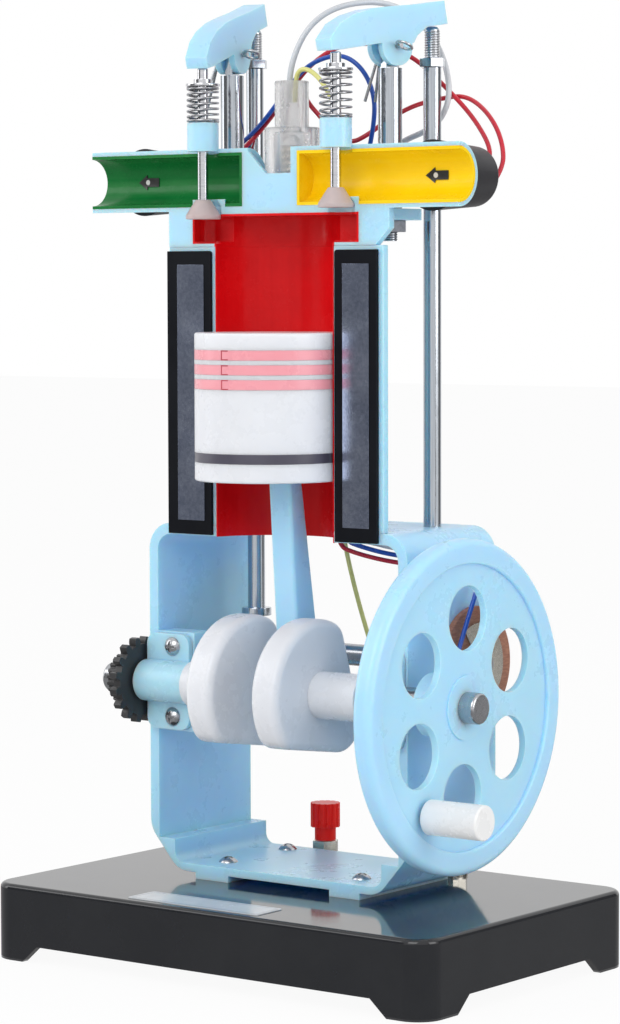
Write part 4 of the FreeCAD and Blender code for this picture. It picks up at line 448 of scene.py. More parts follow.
# ------------------------------------------------------------------ finishes
@dataclass(frozen=True)
class MouldedPlastic:
    """Injection-moulded plastic with soft waves, cloudy depth and lighter edges."""

    name: str
    colour: Colour
    depth: Colour
    edge: Colour
    clean: float = 0.22
    handled: float = 0.38
    shine: float = 0.5
    glow: float = 0.0
    glow_reach: float = 0.004
    glow_tint: Colour = (1.0, 0.95, 0.9)
    coat: float = 0.0
    coat_roughness: float = 0.05
    waves: float = 55.0
    relief: float = 0.00012
    grain: float = 0.08
    edge_share: float = 0.35
    dust: float = 0.12

    def material(self) -> bpy.types.Material:
        """Builds the node tree.

        Returns:
            The material.
        """
        made, graph, shader = new_material(self.name)
        skin = group_node(graph, moulded_skin(), {"Wave Scale": self.waves, "Grain Share": self.grain})
        film = group_node(graph, handled_film(), {"Clean": self.clean, "Handled": self.handled})
        edge = group_node(graph, worn_edge(), {"Amount": self.edge_share})
        dust = group_node(graph, settled_dust(), {"Amount": self.dust})
        tint = graph.blend(skin.outputs["Cloud"], self.colour, self.depth)
        tint = graph.blend(edge.outputs["Mask"], tint, self.edge)
        tint = graph.blend(dust.outputs["Mask"], tint, DUST)
        plain = {"Specular IOR Level": self.shine}
        if self.glow:
            plain |= {"Subsurface Weight": self.glow, "Subsurface Radius": self.glow_tint,
                      "Subsurface Scale": self.glow_reach}
        if self.coat:
            plain |= {"Coat Weight": self.coat, "Coat Roughness": self.coat_roughness}
        cover(graph, shader, tint, film, skin.outputs["Height"], self.relief, plain)
        return made


@dataclass(frozen=True)
class BrushedPaint:
    """Satin paint laid by brush: long faint runs, thin places and a thin clear coat."""

    name: str
    colour: Colour
    thick: Colour
    thin: Colour
    runs: Grain = Grain.ALONG_Z
    clean: float = 0.2
    handled: float = 0.36
    shine: float = 0.15
    cloud_share: float = 0.7
    run_share: float = 0.25
    run_stretch: float = 0.045
    relief: float = 0.0003
    coat: float = 0.06
    coat_roughness: float = 0.1

    def material(self) -> bpy.types.Material:
        """Builds the node tree.

        Returns:
            The material.
        """
        made, graph, shader = new_material(self.name)
        stretch = tuple(self.run_stretch * value for value in self.runs.value)
        runs = group_node(graph, machined_grain(), {"Stretch": stretch})
        skin = group_node(graph, moulded_skin(),
                          {"Wave Scale": 110.0, "Grain Share": 0.05, "Cloud Scale": 45.0})
        film = group_node(graph, handled_film(),
                          {"Clean": self.clean, "Handled": self.handled, "Scale": 60.0})
        edge = group_node(graph, worn_edge(), {"Amount": 0.5})
        cloud = graph.calc("MULTIPLY", skin.outputs["Cloud"], self.cloud_share)
        tint = graph.blend(cloud, self.colour, self.thick)
        tint = graph.blend(graph.calc("MULTIPLY", runs.outputs["Streak"], self.run_share), tint, self.thin)
        tint = graph.blend(edge.outputs["Mask"], tint, self.thin)
        ridges = graph.calc("MULTIPLY", runs.outputs["Height"], self.run_share)
        height = graph.calc("ADD", skin.outputs["Height"], ridges)
        plain = {"Specular IOR Level": self.shine, "Coat Weight": self.coat,
                 "Coat Roughness": self.coat_roughness}
        cover(graph, shader, tint, film, height, self.relief, plain)
        return made


@dataclass(frozen=True)
class PlatedMetal:
    """Bare or plated metal with the grain of its machining."""

    name: str
    colour: Colour
    streak: Colour
    grain: Grain = Grain.NONE
    clean: float = 0.12
    handled: float = 0.3
    relief: float = 0.00001
    edge: Colour = (0.85, 0.85, 0.86)
    streak_share: float = 0.6

    def material(self) -> bpy.types.Material:
        """Builds the node tree.

        Returns:
            The material.
        """
        made, graph, shader = new_material(self.name)
        lines = group_node(graph, machined_grain(), {"Stretch": self.grain.value})
        film = group_node(graph, handled_film(),
                          {"Clean": self.clean, "Handled": self.handled, "Scale": 90.0})
        edge = group_node(graph, worn_edge(), {"Amount": 0.6, "Width": 0.0004})
        streaks = graph.calc("MULTIPLY", lines.outputs["Streak"], self.streak_share)
        tint = graph.blend(streaks, self.colour, self.streak)
        tint = graph.blend(edge.outputs["Mask"], tint, self.edge)
        cover(graph, shader, tint, film, lines.outputs["Height"], self.relief, {"Metallic": 1.0})
        return made


@dataclass(frozen=True)
class ClearPlastic:
    """Clear or frosted moulding that light passes through."""

    name: str
    tint: Colour
    clean: float = 0.04
    handled: float = 0.16
    pass_share: float = 0.92
    relief: float = 0.0002
    dulling: float = 0.93
    bending: float = 1.47

    def material(self) -> bpy.types.Material:
        """Builds the node tree.

        Returns:
            The material.
        """
        made, graph, shader = new_material(self.name)
        skin = group_node(graph, moulded_skin(),
                          {"Wave Scale": 160.0, "Grain Share": 0.04, "Cloud Scale": 120.0})
        film = group_node(graph, handled_film(),
                          {"Clean": self.clean, "Handled": self.handled, "Scale": 110.0})
        dull = tuple(self.dulling * value for value in self.tint)
        tint = graph.blend(skin.outputs["Cloud"], self.tint, dull)
        cover(graph, shader, tint, film, skin.outputs["Height"], self.relief,
              {"Transmission Weight": self.pass_share, "IOR": self.bending})
        return made


@dataclass(frozen=True)
class FoilStrip:
    """Grey metallic foil with a fine mottle under a clear film; its colours carry a blue cast that is a
    painted reflection of the pale blue plastic.
    """

    name: str = "foil_strip"
    # both tones hold a painted reflection of the blue plastic as a blue cast; the mottle between them is the
    # foil's own
    dark: Colour = (0.36, 0.42, 0.60)
    light: Colour = (0.68, 0.75, 0.95)
    mottle_share: float = 0.55
    patch_share: float = 0.45
    relief: float = 0.00003

    def material(self) -> bpy.types.Material:
        """Builds the node tree.

        Returns:
            The material.
        """
        made, graph, shader = new_material(self.name)
        place = graph.place()
        mottle = graph.noise(place, 900.0, 4.0, 0.75)
        patches = graph.noise(place, 70.0, 4.0, 0.6)
        film = group_node(graph, handled_film(), {"Clean": 0.09, "Handled": 0.2, "Scale": 50.0})
        fine = graph.calc("MULTIPLY", graph.span(mottle, 0.35, 0.65, 0.0, 1.0), self.mottle_share)
        wide = graph.calc("MULTIPLY", graph.span(patches, 0.35, 0.65, 0.0, 1.0), self.patch_share)
        tint = graph.blend(graph.calc("ADD", fine, wide, True), self.dark, self.light)
        cover(graph, shader, tint, film, mottle, self.relief, {"Metallic": 1.0})
        return made


@dataclass(frozen=True)
class PrintedFilm:
    """Smooth self-adhesive film with a faint sheen and rubbed spots."""

    name: str
    colour: Colour
    shade: Colour
    gloss: float = 0.25
    rubbed: float = 0.2
    relief: float = 0.0001

    def material(self) -> bpy.types.Material:
        """Builds the node tree.

        Returns:
            The material.
        """
        made, graph, shader = new_material(self.name)
        skin = group_node(graph, moulded_skin(),
                          {"Wave Scale": 90.0, "Grain Share": 0.1, "Cloud Scale": 80.0})
        film = group_node(graph, handled_film(), {"Clean": self.gloss, "Handled": self.gloss + self.rubbed})
        tint = graph.blend(skin.outputs["Cloud"], self.colour, self.shade)
        cover(graph, shader, tint, film, skin.outputs["Height"], self.relief)
        return made


@dataclass(frozen=True)
class FibreBoard:
    """Pressed brown board with short paper fibres."""

    name: str = "fibre_board"
    colour: Colour = (0.30, 0.115, 0.07)
    fibre: Colour = (0.42, 0.19, 0.115)
    relief: float = 0.00008

    def material(self) -> bpy.types.Material:
        """Builds the node tree.

        Returns:
            The material.
        """
        made, graph, shader = new_material(self.name)
        lines = group_node(graph, machined_grain(), {"Stretch": (400.0, 300.0, 1500.0)})
        film = group_node(graph, handled_film(), {"Clean": 0.35, "Handled": 0.55})
        edge = group_node(graph, worn_edge(), {"Amount": 0.6})
        tint = graph.blend(lines.outputs["Streak"], self.colour, self.fibre)
        tint = graph.blend(edge.outputs["Mask"], tint, self.fibre)
        cover(graph, shader, tint, film, lines.outputs["Height"], self.relief)
        return made


RED_PAINT = ((0.69, 0.004, 0.007), (0.56, 0.002, 0.005), (0.8, 0.013, 0.016))
WIRE_SKIN = {"waves": 300.0, "relief": 0.00005}


class Finishes:
    """Every finish of the model, built on first use."""

    RECIPES = {finish.name: finish for finish in (
        MouldedPlastic("pale_blue", (0.44, 0.715, 0.94), (0.41, 0.695, 0.935), (0.54, 0.775, 0.95),
                       clean=0.27, handled=0.36, glow=0.7, glow_reach=0.006, glow_tint=(0.25, 0.7, 1.0),
                       relief=0.00005, dust=0.01),
        MouldedPlastic("milk_white", (0.76, 0.775, 0.81), (0.72, 0.735, 0.775), (0.82, 0.83, 0.86),
                       clean=0.24, handled=0.38, shine=0.4, glow=0.6, glow_reach=0.005, dust=0.05),
        MouldedPlastic("sleeve_white", (0.86, 0.86, 0.86), (0.82, 0.82, 0.82), (0.9, 0.9, 0.9), clean=0.25,
                       handled=0.42, glow=0.3, glow_reach=0.002),
        MouldedPlastic("plinth_black", (0.012, 0.013, 0.016), (0.016, 0.017, 0.02), (0.05, 0.05, 0.055),
                       clean=0.07, handled=0.14, shine=0.4, coat=0.1, waves=22.0, relief=0.00003, grain=0.01,
                       dust=0.04, edge_share=0.2),
        MouldedPlastic("gear_black", (0.018, 0.018, 0.02), (0.03, 0.03, 0.032), (0.09, 0.09, 0.1), clean=0.35,
                       handled=0.5, dust=0.2),
        MouldedPlastic("cap_black", (0.016, 0.015, 0.018), (0.022, 0.021, 0.025), (0.07, 0.07, 0.075),
                       clean=0.38, handled=0.5, shine=0.3),
        MouldedPlastic("post_black", (0.02, 0.02, 0.02), (0.03, 0.03, 0.03), (0.1, 0.1, 0.1), clean=0.18,
                       handled=0.3),
        MouldedPlastic("post_red", (0.93, 0.014, 0.008), (0.86, 0.010, 0.006), (0.96, 0.08, 0.06), clean=0.24,
                       handled=0.36, shine=0.25, glow=0.3, glow_reach=0.002),
        MouldedPlastic("ring_pink", (0.88, 0.37, 0.42), (0.84, 0.31, 0.36), (0.92, 0.5, 0.54), clean=0.22,
                       handled=0.36, glow=0.4, glow_reach=0.002),
        MouldedPlastic("ring_dark", (0.085, 0.08, 0.11), (0.055, 0.05, 0.075), (0.2, 0.19, 0.23), clean=0.3,
                       handled=0.42),
        MouldedPlastic("panel_black", (0.006, 0.0065, 0.009), (0.009, 0.01, 0.013), (0.05, 0.05, 0.06),
                       clean=0.38, handled=0.5, shine=0.06, dust=0.02, waves=35.0),
        PrintedFilm("arrow_black", (0.015, 0.015, 0.015), (0.03, 0.03, 0.03)),
        PrintedFilm("ring_mark", (0.55, 0.06, 0.09), (0.42, 0.04, 0.07), 0.3),
        PrintedFilm("label_film", (0.62, 0.64, 0.66), (0.52, 0.55, 0.58), 0.14),
        PrintedFilm("label_border", (0.30, 0.33, 0.37), (0.24, 0.27, 0.31), 0.16),
        ClearPlastic("lamp_lens", (0.97, 0.97, 0.95), 0.1, 0.3, 0.4),
        BrushedPaint("liner_red", *RED_PAINT),
        BrushedPaint("chamber_red", *RED_PAINT, Grain.ALONG_X),
        BrushedPaint("exhaust_green", (0.007, 0.16, 0.034), (0.004, 0.11, 0.023), (0.06, 0.28, 0.08),
                     Grain.ALONG_X),
        BrushedPaint("intake_yellow", (0.93, 0.62, 0.003), (0.86, 0.52, 0.002), (0.97, 0.74, 0.04),
                     Grain.ALONG_X),
        PlatedMetal("rod_steel", (0.50, 0.53, 0.57), (0.36, 0.39, 0.43), Grain.ALONG_Z, 0.10, 0.22),
        PlatedMetal("stem_steel", (0.62, 0.62, 0.64), (0.45, 0.46, 0.5), Grain.ROUND_Z, 0.12, 0.25),
        PlatedMetal("shaft_steel", (0.44, 0.45, 0.47), (0.30, 0.31, 0.33), Grain.ROUND_X, 0.2, 0.36),
        PlatedMetal("screw_steel", (0.50, 0.51, 0.53), (0.36, 0.37, 0.4), Grain.NONE, 0.2, 0.36),
        PlatedMetal("nut_steel", (0.22, 0.23, 0.26), (0.14, 0.15, 0.17), Grain.NONE, 0.28, 0.42),
        PlatedMetal("spring_wire", (0.42, 0.42, 0.44), (0.3, 0.3, 0.32), Grain.NONE, 0.2, 0.34),
        PlatedMetal("nickel", (0.66, 0.63, 0.56), (0.52, 0.49, 0.43), Grain.NONE, 0.2, 0.4),
        PlatedMetal("bulb_brass", (0.40, 0.36, 0.29), (0.28, 0.25, 0.20), Grain.NONE, 0.22, 0.38),
        PlatedMetal("solder", (0.60, 0.60, 0.60), (0.45, 0.45, 0.46), Grain.NONE, 0.25, 0.45, relief=0.00006),
        # valve heads: the pink tint is a painted reflection of the red liner and chamber
        ClearPlastic("clear_reflected_pink", (0.80, 0.68, 0.67), 0.28, 0.45, 0.45),
        ClearPlastic("clear_cup", (0.88, 0.87, 0.87), 0.2, 0.34, 0.8, 0.00004),
        ClearPlastic("bulb_glass", (0.98, 0.98, 0.98), 0.01, 0.05, 1.0, 0.0),
        FoilStrip(),
        FibreBoard(),
        MouldedPlastic("wire_red", (0.62, 0.015, 0.035), (0.5, 0.01, 0.03), (0.75, 0.08, 0.1), clean=0.25,
                       handled=0.4, **WIRE_SKIN),
        MouldedPlastic("wire_blue", (0.015, 0.09, 0.46), (0.01, 0.07, 0.38), (0.08, 0.18, 0.58), clean=0.25,
                       handled=0.4, **WIRE_SKIN),
        MouldedPlastic("wire_yellow", (0.76, 0.73, 0.27), (0.68, 0.66, 0.22), (0.82, 0.8, 0.4), clean=0.25,
                       handled=0.4, **WIRE_SKIN),
        MouldedPlastic("wire_white", (0.62, 0.64, 0.67), (0.55, 0.57, 0.6), (0.7, 0.7, 0.72), clean=0.2,
                       handled=0.36, glow=0.4, glow_reach=0.001, **WIRE_SKIN),
    )}

    def __init__(self) -> None:
        """Starts with nothing built."""
        self.made: dict[str, bpy.types.Material] = {}

    def get(self, name: str) -> bpy.types.Material:
        """Hands out a finish.

        Args:
            name: the finish's name.

        Returns:
            Its material.
        """
        if name not in self.made:
            self.made[name] = self.RECIPES[name].material()
        return self.made[name]


# ------------------------------------------------------------------ mesh tools
def new_piece(name: str, mesh: bmesh.types.BMesh, smooth: float = 40.0) -> bpy.types.Object:
    """Turns a bmesh into a piece of the scene.

    Args:
        name: the piece's name.
        mesh: its geometry, in metres.
        smooth: the angle in degrees above which an edge stays sharp.

    Returns:
        The new object.
    """
    bmesh.ops.recalc_face_normals(mesh, faces=mesh.faces)
    data = bpy.data.meshes.new(name)
    mesh.to_mesh(data)
    mesh.free()
    data.shade_smooth()
    data.set_sharp_from_angle(angle=math.radians(smooth))
    made = bpy.data.objects.new(name, data)
    bpy.context.scene.collection.objects.link(made)
    return made


def bridge(mesh: bmesh.types.BMesh, rings: Sequence[Sequence[bmesh.types.BMVert]]) -> None:
    """Joins rings of points with faces and closes both ends.

    Args:
        mesh: where the faces are added.
        rings: the rings in order, with as many points each, or one point where the shape ends in a pole.
    """
    sides = max(len(ring) for ring in rings)
    for low, high in zip(rings, rings[1:]):
        for step in range(sides):
            following = (step + 1) % sides
            corners = (low[step % len(low)], low[following % len(low)], high[following % len(high)],
                       high[step % len(high)])
            mesh.faces.new(tuple(dict.fromkeys(corners)))
    for end in (tuple(reversed(rings[0])), tuple(rings[-1])):
        if len(end) > 1:
            mesh.faces.new(end)


def sweep(mesh: bmesh.types.BMesh, line: Sequence[Vector], radius: float, sides: int = 12) -> None:
    """Adds a round bar along a line of points.

    Args:
        mesh: where it is added.
        line: the points of its centre.
        radius: its radius.
        sides: the points round it.
    """
    heading = (line[1] - line[0]).normalized()
    across = heading.orthogonal().normalized()
    rings = []
    for index, point in enumerate(line):
        ahead = line[min(index + 1, len(line) - 1)] - line[max(index - 1, 0)]
        turn = heading.rotation_difference(ahead.normalized())
        across = (turn @ across).normalized()
        heading = ahead.normalized()
        other = heading.cross(across)
        angles = [2 * math.pi * step / sides for step in range(sides)]
        rings.append([mesh.verts.new(point + radius * (across * math.cos(a) + other * math.sin(a)))
                      for a in angles])
    bridge(mesh, rings)


def turned(mesh: bmesh.types.BMesh, axis: Vector, profile: Sequence[tuple[float, float]],
           sides: int = 48) -> None:
    """Adds a closed shape turned about a line along Z.

    Args:
        mesh: where it is added.
        axis: a point of the line at height 0.
        profile: radius and height of each ring, with radius 0 for the poles at both ends.
        sides: the points round it.
    """
    rings = []
    for radius, height in profile:
        if not radius:
            rings.append([mesh.verts.new(axis + Vector((0.0, 0.0, height)))])
            continue
        angles = [2 * math.pi * step / sides for step in range(sides)]
        rings.append([mesh.verts.new(axis + Vector((radius * math.cos(a), radius * math.sin(a), height)))
                      for a in angles])
    bridge(mesh, rings)


def thread(mesh: bmesh.types.BMesh, axis: Vector, span: tuple[float, float], radii: tuple[float, float],
           pitch: float, sides: int = 28) -> None:
    """Adds the skin of a screw thread along Z.

    Args:
        mesh: where it is added.
        axis: a point of its axis at height 0.
        span: its lowest and highest height.
        radii: its root and crest radius.
        pitch: the rise of one turn.
        sides: the points round it.
    """
    levels_per_turn = 6
    crest_share = 1.5
    steps = max(4, int((span[1] - span[0]) / pitch * levels_per_turn))
    rings = []
    for level in range(steps + 1):
        height = span[0] + (span[1] - span[0]) * level / steps
        ring = []
        for step in range(sides):
            phase = ((height - span[0]) / pitch - step / sides) % 1.0
            rise = 1.0 - abs(2.0 * phase - 1.0)
            radius = radii[0] + (radii[1] - radii[0]) * min(1.0, crest_share * rise)
            angle = 2 * math.pi * step / sides
            around = Vector((radius * math.cos(angle), radius * math.sin(angle), height))
            ring.append(mesh.verts.new(axis + around))
        rings.append(ring)
    bridge(mesh, rings)


def blob(mesh: bmesh.types.BMesh, place: Point, size: Point) -> None:
    """Adds a soft lump, such as a bead of solder.

    Args:
        mesh: where it is added.
        place: its centre in millimetres.
        size: its half sizes in millimetres.
    """
    unevenness = 0.07
    made = bmesh.ops.create_icosphere(mesh, subdivisions=3, radius=1.0)
    for vertex in made["verts"]:
        wave = math.sin(5.0 * vertex.co.x + 3.0 * vertex.co.y) * math.cos(4.0 * vertex.co.z)
        swell = 1.0 + unevenness * wave
        vertex.co = Vector(place) * MM + Vector(a * b * swell * MM for a, b in zip(vertex.co, size))


# ------------------------------------------------------------------ the model
class Model:
    """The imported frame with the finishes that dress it."""

    def __init__(self) -> None:
        """Loads the frame."""
        self.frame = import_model()
        self.finishes = Finishes()

    def soften(self, node: str, finish: str, width: float, angle: float = 32.0) -> None:
        """Gives a CAD node its finish, smooth shading and, where asked, rounded edges.

        Args:
            node: the node's name.
            finish: the finish's name.
            width: how wide its sharp edges are rounded, in millimetres.
            angle: the angle in degrees above which an edge counts as sharp.
        """
        made = self.frame["nodes"][node]
        made.data.materials.clear()
        made.data.materials.append(self.finishes.get(finish))
        for polygon in made.data.polygons:
            polygon.use_smooth = True
        weld = made.modifiers.new("weld", "WELD")
        weld.merge_threshold = WELD_REACH
        flat = made.modifiers.new("flat", "DECIMATE")
        flat.decimate_type = "DISSOLVE"
        flat.angle_limit = math.radians(FLAT_TURN)
        if width:
            bevel = made.modifiers.new("bevel", "BEVEL")
            bevel.width = width * MM
            bevel.segments = 2
            bevel.limit_method = "ANGLE"
            bevel.angle_limit = math.radians(angle)
            bevel.use_clamp_overlap = True
            bevel.miter_outer = "MITER_ARC"
        split = made.modifiers.new("split", "EDGE_SPLIT")
        split.split_angle = math.radians(angle)
        even = made.modifiers.new("even", "WEIGHTED_NORMAL")
        even.mode = "FACE_AREA"
        even.weight = FLAT_WEIGHT

    def dress(self, looks: Looks) -> None:
        """Softens each node of a sub-assembly.

        Args:
            looks: the nodes with their finishes and rounded edges.
        """
        for node, finish, width in looks:
            self.soften(node, finish, width)

    def add(self, piece: bpy.types.Object, body: str, finish: str, stands_for: Iterable[str] = ()) -> None:
        """Finishes a new piece and puts it on its body.

        Args:
            piece: the piece.
            body: the CAD body that carries it.
            finish: the finish's name.
            stands_for: the CAD nodes it replaces.
        """
        piece.data.materials.append(self.finishes.get(finish))
        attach(piece, body)
        if stands_for:
            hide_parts(*stands_for)
        LOG.info("piece %s on %s", piece.name, body)


@dataclass
class Plinth:
    """Base, blank label, screws and the two binding posts."""

    looks: Looks = (("base_shell", "plinth_black", 0.5), ("screws", "screw_steel", 0.12),
                    ("binding_studs", "nickel", 0.2), ("binding_cap_red", "post_red", 0.25),
                    ("binding_cap_black", "post_black", 0.25))
    label_centre: tuple[float, float] = (-5.9, -52.5)
    label_size: tuple[float, float] = (59.0, 15.0)
    label_level: float = 28.0
    label_lift: float = 0.3
    label_corner: float = 1.2
    least_corner: float = 0.2
    corner_steps: int = 6
    border: float = 1.1
    border_line: float = 0.35
    border_lift: float = 0.02

    def build(self, model: Model) -> None:
        """Dresses the base and adds the label film.

        Args:
            model: the model.
        """
        model.dress(self.looks)
        model.add(self.film("label_film", 0.0, self.label_lift), "stand", "label_film", ["label_plate"])
        border = self.film("label_border", self.border, self.label_lift + self.border_lift)
        model.add(border, "stand", "label_border")

    def outline(self, inset: float, lift: float) -> list[Point]:
        """Lays the label's rounded outline, or a smaller one inside it.

        Args:
            inset: how far it lies inside the label's edge.
            lift: its height above the base.

        Returns:
            Its points.
        """
        half = (self.label_size[0] / 2 - inset, self.label_size[1] / 2 - inset)
        corner = max(self.least_corner, self.label_corner - inset)
        points = []
        for turn, (side_x, side_y) in enumerate(((1, 1), (-1, 1), (-1, -1), (1, -1))):
            for step in range(self.corner_steps + 1):
                angle = math.radians(90 * turn + 90 * step / self.corner_steps)
                points.append((self.label_centre[0] + side_x * (half[0] - corner) + corner * math.cos(angle),
                               self.label_centre[1] + side_y * (half[1] - corner) + corner * math.sin(angle),
                               self.label_level + lift))
        return points

    def film(self, name: str, inset: float, lift: float) -> bpy.types.Object:
        """Builds a thin film with rounded corners, or its printed line where it is inset.

        Args:
            name: the piece's name.
            inset: how far the line lies inside the film's edge, or 0 for the film.
            lift: height of its top above the base.

        Returns:
            The piece.
        """
        mesh = bmesh.new()
        outer = [mesh.verts.new(Vector(p) * MM) for p in self.outline(inset, lift)]
        if inset:
            inner = [mesh.verts.new(Vector(p) * MM) for p in self.outline(inset + self.border_line, lift)]
            for step in range(len(outer)):
                following = (step + 1) % len(outer)
                mesh.faces.new((outer[step], outer[following], inner[following], inner[step]))
        else:
            foot = [mesh.verts.new(Vector(p) * MM) for p in self.outline(inset, 0.0)]
            bridge(mesh, (foot, outer))
        return new_piece(name, mesh)


@dataclass
class Crankcase:
    """Open frame with its bearing caps and the contact breaker on the right wall."""

    looks: Looks = (("crankcase_frame", "pale_blue", 0.6), ("bearing_caps", "pale_blue", 0.5),
                    ("contact_board", "fibre_board", 0.2), ("contact_plate", "nickel", 0.1),
                    ("contact_wiper", "nickel", 0.15))
    solder_places: tuple[Point, ...] = ((59.4, 30.5, 125.2), (59.3, 9.0, 111.6), (58.9, 36.4, 126.1))
    solder_size: Point = (1.5, 1.7, 1.9)

    def build(self, model: Model) -> None:
        """Dresses the frame and adds the solder beads.

        Args:
            model: the model.
        """
        model.dress(self.looks)
        mesh = bmesh.new()
        for place in self.solder_places:
            blob(mesh, place, self.solder_size)
        model.add(new_piece("solder_beads", mesh), "stand", "solder")


@dataclass
class CrankTrain:
    """Crankshaft, flywheel, handle and timing gear."""

    looks: Looks = (("crank_webs", "milk_white", 0.0), ("crankshaft", "shaft_steel", 0.2),
                    ("crank_gear", "gear_black", 0.15), ("flywheel", "pale_blue", 0.6),
                    ("handle_pin", "shaft_steel", 0.2), ("handle_sleeve", "sleeve_white", 0.3),
                    ("camshaft", "shaft_steel", 0.3), ("cam_gear", "gear_black", 0.15),
                    ("cams", "gear_black", 0.3))

    def build(self, model: Model) -> None:
        """Dresses the turning pieces.

        Args:
            model: the model.
        """
        model.dress(self.looks)


@dataclass
class PistonAssembly:
    """Piston, rings with their printed gaps, wrist pin and connecting rod."""

    looks: Looks = (("piston_body", "milk_white", 0.2), ("piston_rings", "ring_pink", 0.15),
                    ("oil_ring", "ring_dark", 0.15), ("wrist_pin", "shaft_steel", 0.2),
                    ("connecting_rod", "pale_blue", 0.5), ("crankpin", "shaft_steel", 0.2))
    axis: tuple[float, float] = (-3.5, -17.6)
    radius: float = 26.5
    crown: float = 229.7
    ring_depths: tuple[float, ...] = (7.8, 13.0, 18.2)
    ring_height: float = 3.6
    gap_angle: float = -91.0  # from +X towards +Y
    gap_turn: float = 6.5
    line: float = 0.45  # width of a printed line
    film_rise: float = 0.03  # of the printed lines over the rings

    def build(self, model: Model) -> None:
        """Dresses the reciprocating pieces.

        Args:
            model: the model.
        """
        model.dress(self.looks)
        mesh = bmesh.new()
        for depth in self.ring_depths:
            self.gap(mesh, self.crown - depth)
        model.add(new_piece("ring_gap_lines", mesh), "piston", "ring_mark")

    def gap(self, mesh: bmesh.types.BMesh, level: float) -> None:
        """Adds the outline of one ring gap as a thin film on the ring.

        Args:
            mesh: where it is added.
            level: height of the ring's middle.
        """
        half = self.ring_height / 2
        out = self.radius + self.film_rise
        turn = math.degrees(self.line / self.radius)
        spans = [(0.0, turn, -half, half), (turn, self.gap_turn, half - self.line, half),
                 (turn, self.gap_turn, -half, self.line - half)]
        for start, end, low, high in spans:
            corners = []
            for angle, rise in ((start, low), (end, low), (end, high), (start, high)):
                heading = math.radians(self.gap_angle + angle)
                corner = Vector((self.axis[0] + out * math.cos(heading),
                                 self.axis[1] + out * math.sin(heading), level + rise))
                corners.append(mesh.verts.new(corner * MM))
            mesh.faces.new(corners)


@dataclass
class Cylinder:
    """Half barrel, liner and the dark jacket panels."""

    looks: Looks = (("cylinder_barrel", "pale_blue", 0.4), ("cylinder_liner", "liner_red", 0.15),
                    ("jacket_panels", "panel_black", 0.2), ("jacket_strips", "foil_strip", 0.05))

    def build(self, model: Model) -> None:
        """Dresses the cylinder.

        Args:
            model: the model.
        """
        model.dress(self.looks)


@dataclass
class Head:
    """Cylinder head with its pipes, linings, arrows and pipe lamps."""

    looks: Looks = (("cylinder_head", "pale_blue", 0.35), ("chamber_lining", "chamber_red", 0.0),
                    ("exhaust_lining", "exhaust_green", 0.0), ("intake_lining", "intake_yellow", 0.0),
                    ("flow_arrows", "arrow_black", 0.0), ("pipe_lamps", "lamp_lens", 0.1),
                    ("lamp_caps", "cap_black", 0.4))

    def build(self, model: Model) -> None:
        """Dresses the head.

        Args:
            model: the model.
        """
        model.dress(self.looks)


@dataclass
class ValveTrain:
    """One valve with its spring, rocker and push rod."""

    side: Side
    valve: tuple[float, float]
    rod: tuple[float, float]
    drop: float  # how far the valve stands open at rest
    lift: float  # how far the push rod stands raised at rest
    looks: Looks = (("valve_stem", "stem_steel", 0.15), ("valve_head", "clear_reflected_pink", 0.25),
                    ("rocker", "pale_blue", 0.45), ("push_rod", "rod_steel", 0.25))
    guide_top: float = 305.1
    retainer: float = 321.6
    grip: float = 0.6  # height of each end of the spring, where it rests on the guide and the retainer
    spring_radius: float = 5.5
    wire: float = 0.45
    turns: float = 5.6
    closed_turns: float = 1.0
    closed_height: float = 2.1  # of a closed turn, in radii of the wire
    steps_per_turn: int = 28
    stud_span: tuple[float, float] = (327.7, 337.2)
    stud_radii: tuple[float, float] = (2.55, 2.82)
    pitch: float = 0.9

    def build(self, model: Model) -> None:
        """Dresses the train and adds its coil spring and stud thread.

        Args:
            model: the model.
        """
        name = self.side.value
        model.dress(tuple((f"{name}_{node}", finish, width) for node, finish, width in self.looks))
        spring = self.spring()
        spring.data.materials.append(model.finishes.get("spring_wire"))
        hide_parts(f"{name}_spring")
        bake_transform(spring)
        LOG.info("piece %s between stand and %s_valve", spring.name, name)
        mesh = bmesh.new()
        axis = Vector((self.rod[0], self.rod[1], 0.0)) * MM
        low, high = (MM * (value + self.lift) for value in self.stud_span)
        thread(mesh, axis, (low, high), tuple(MM * r for r in self.stud_radii), self.pitch * MM)
        model.add(new_piece(f"{name}_stud_thread", mesh, ROUND_BAR), f"{name}_push_rod", "screw_steel")

    def spring(self) -> bpy.types.Object:
        """Builds the coil with a flat closed turn at each end.

        Returns:
            The piece.
        """
        low = self.guide_top + self.wire
        high = self.retainer - self.drop - self.wire
        flat = self.closed_height * self.wire
        total = self.turns + 2 * self.closed_turns
        line = []
        steps = int(total * self.steps_per_turn)
        for step in range(steps + 1):
            turn = total * step / steps
            if turn < self.closed_turns:
                height = low + flat * turn / self.closed_turns / 2
            elif turn > total - self.closed_turns:
                height = high - flat * (total - turn) / self.closed_turns / 2
            else:
                share = (turn - self.closed_turns) / self.turns
                height = low + flat / 2 + (high - low - flat) * share
            angle = 2 * math.pi * turn
            line.append(Vector((self.valve[0] + self.spring_radius * math.cos(angle),
                                self.valve[1] + self.spring_radius * math.sin(angle), height)) * MM)
        mesh = bmesh.new()
        sweep(mesh, line, self.wire * MM, sides=10)
        return new_piece(f"{self.side.value}_coil_spring", mesh, ROUND_BAR)


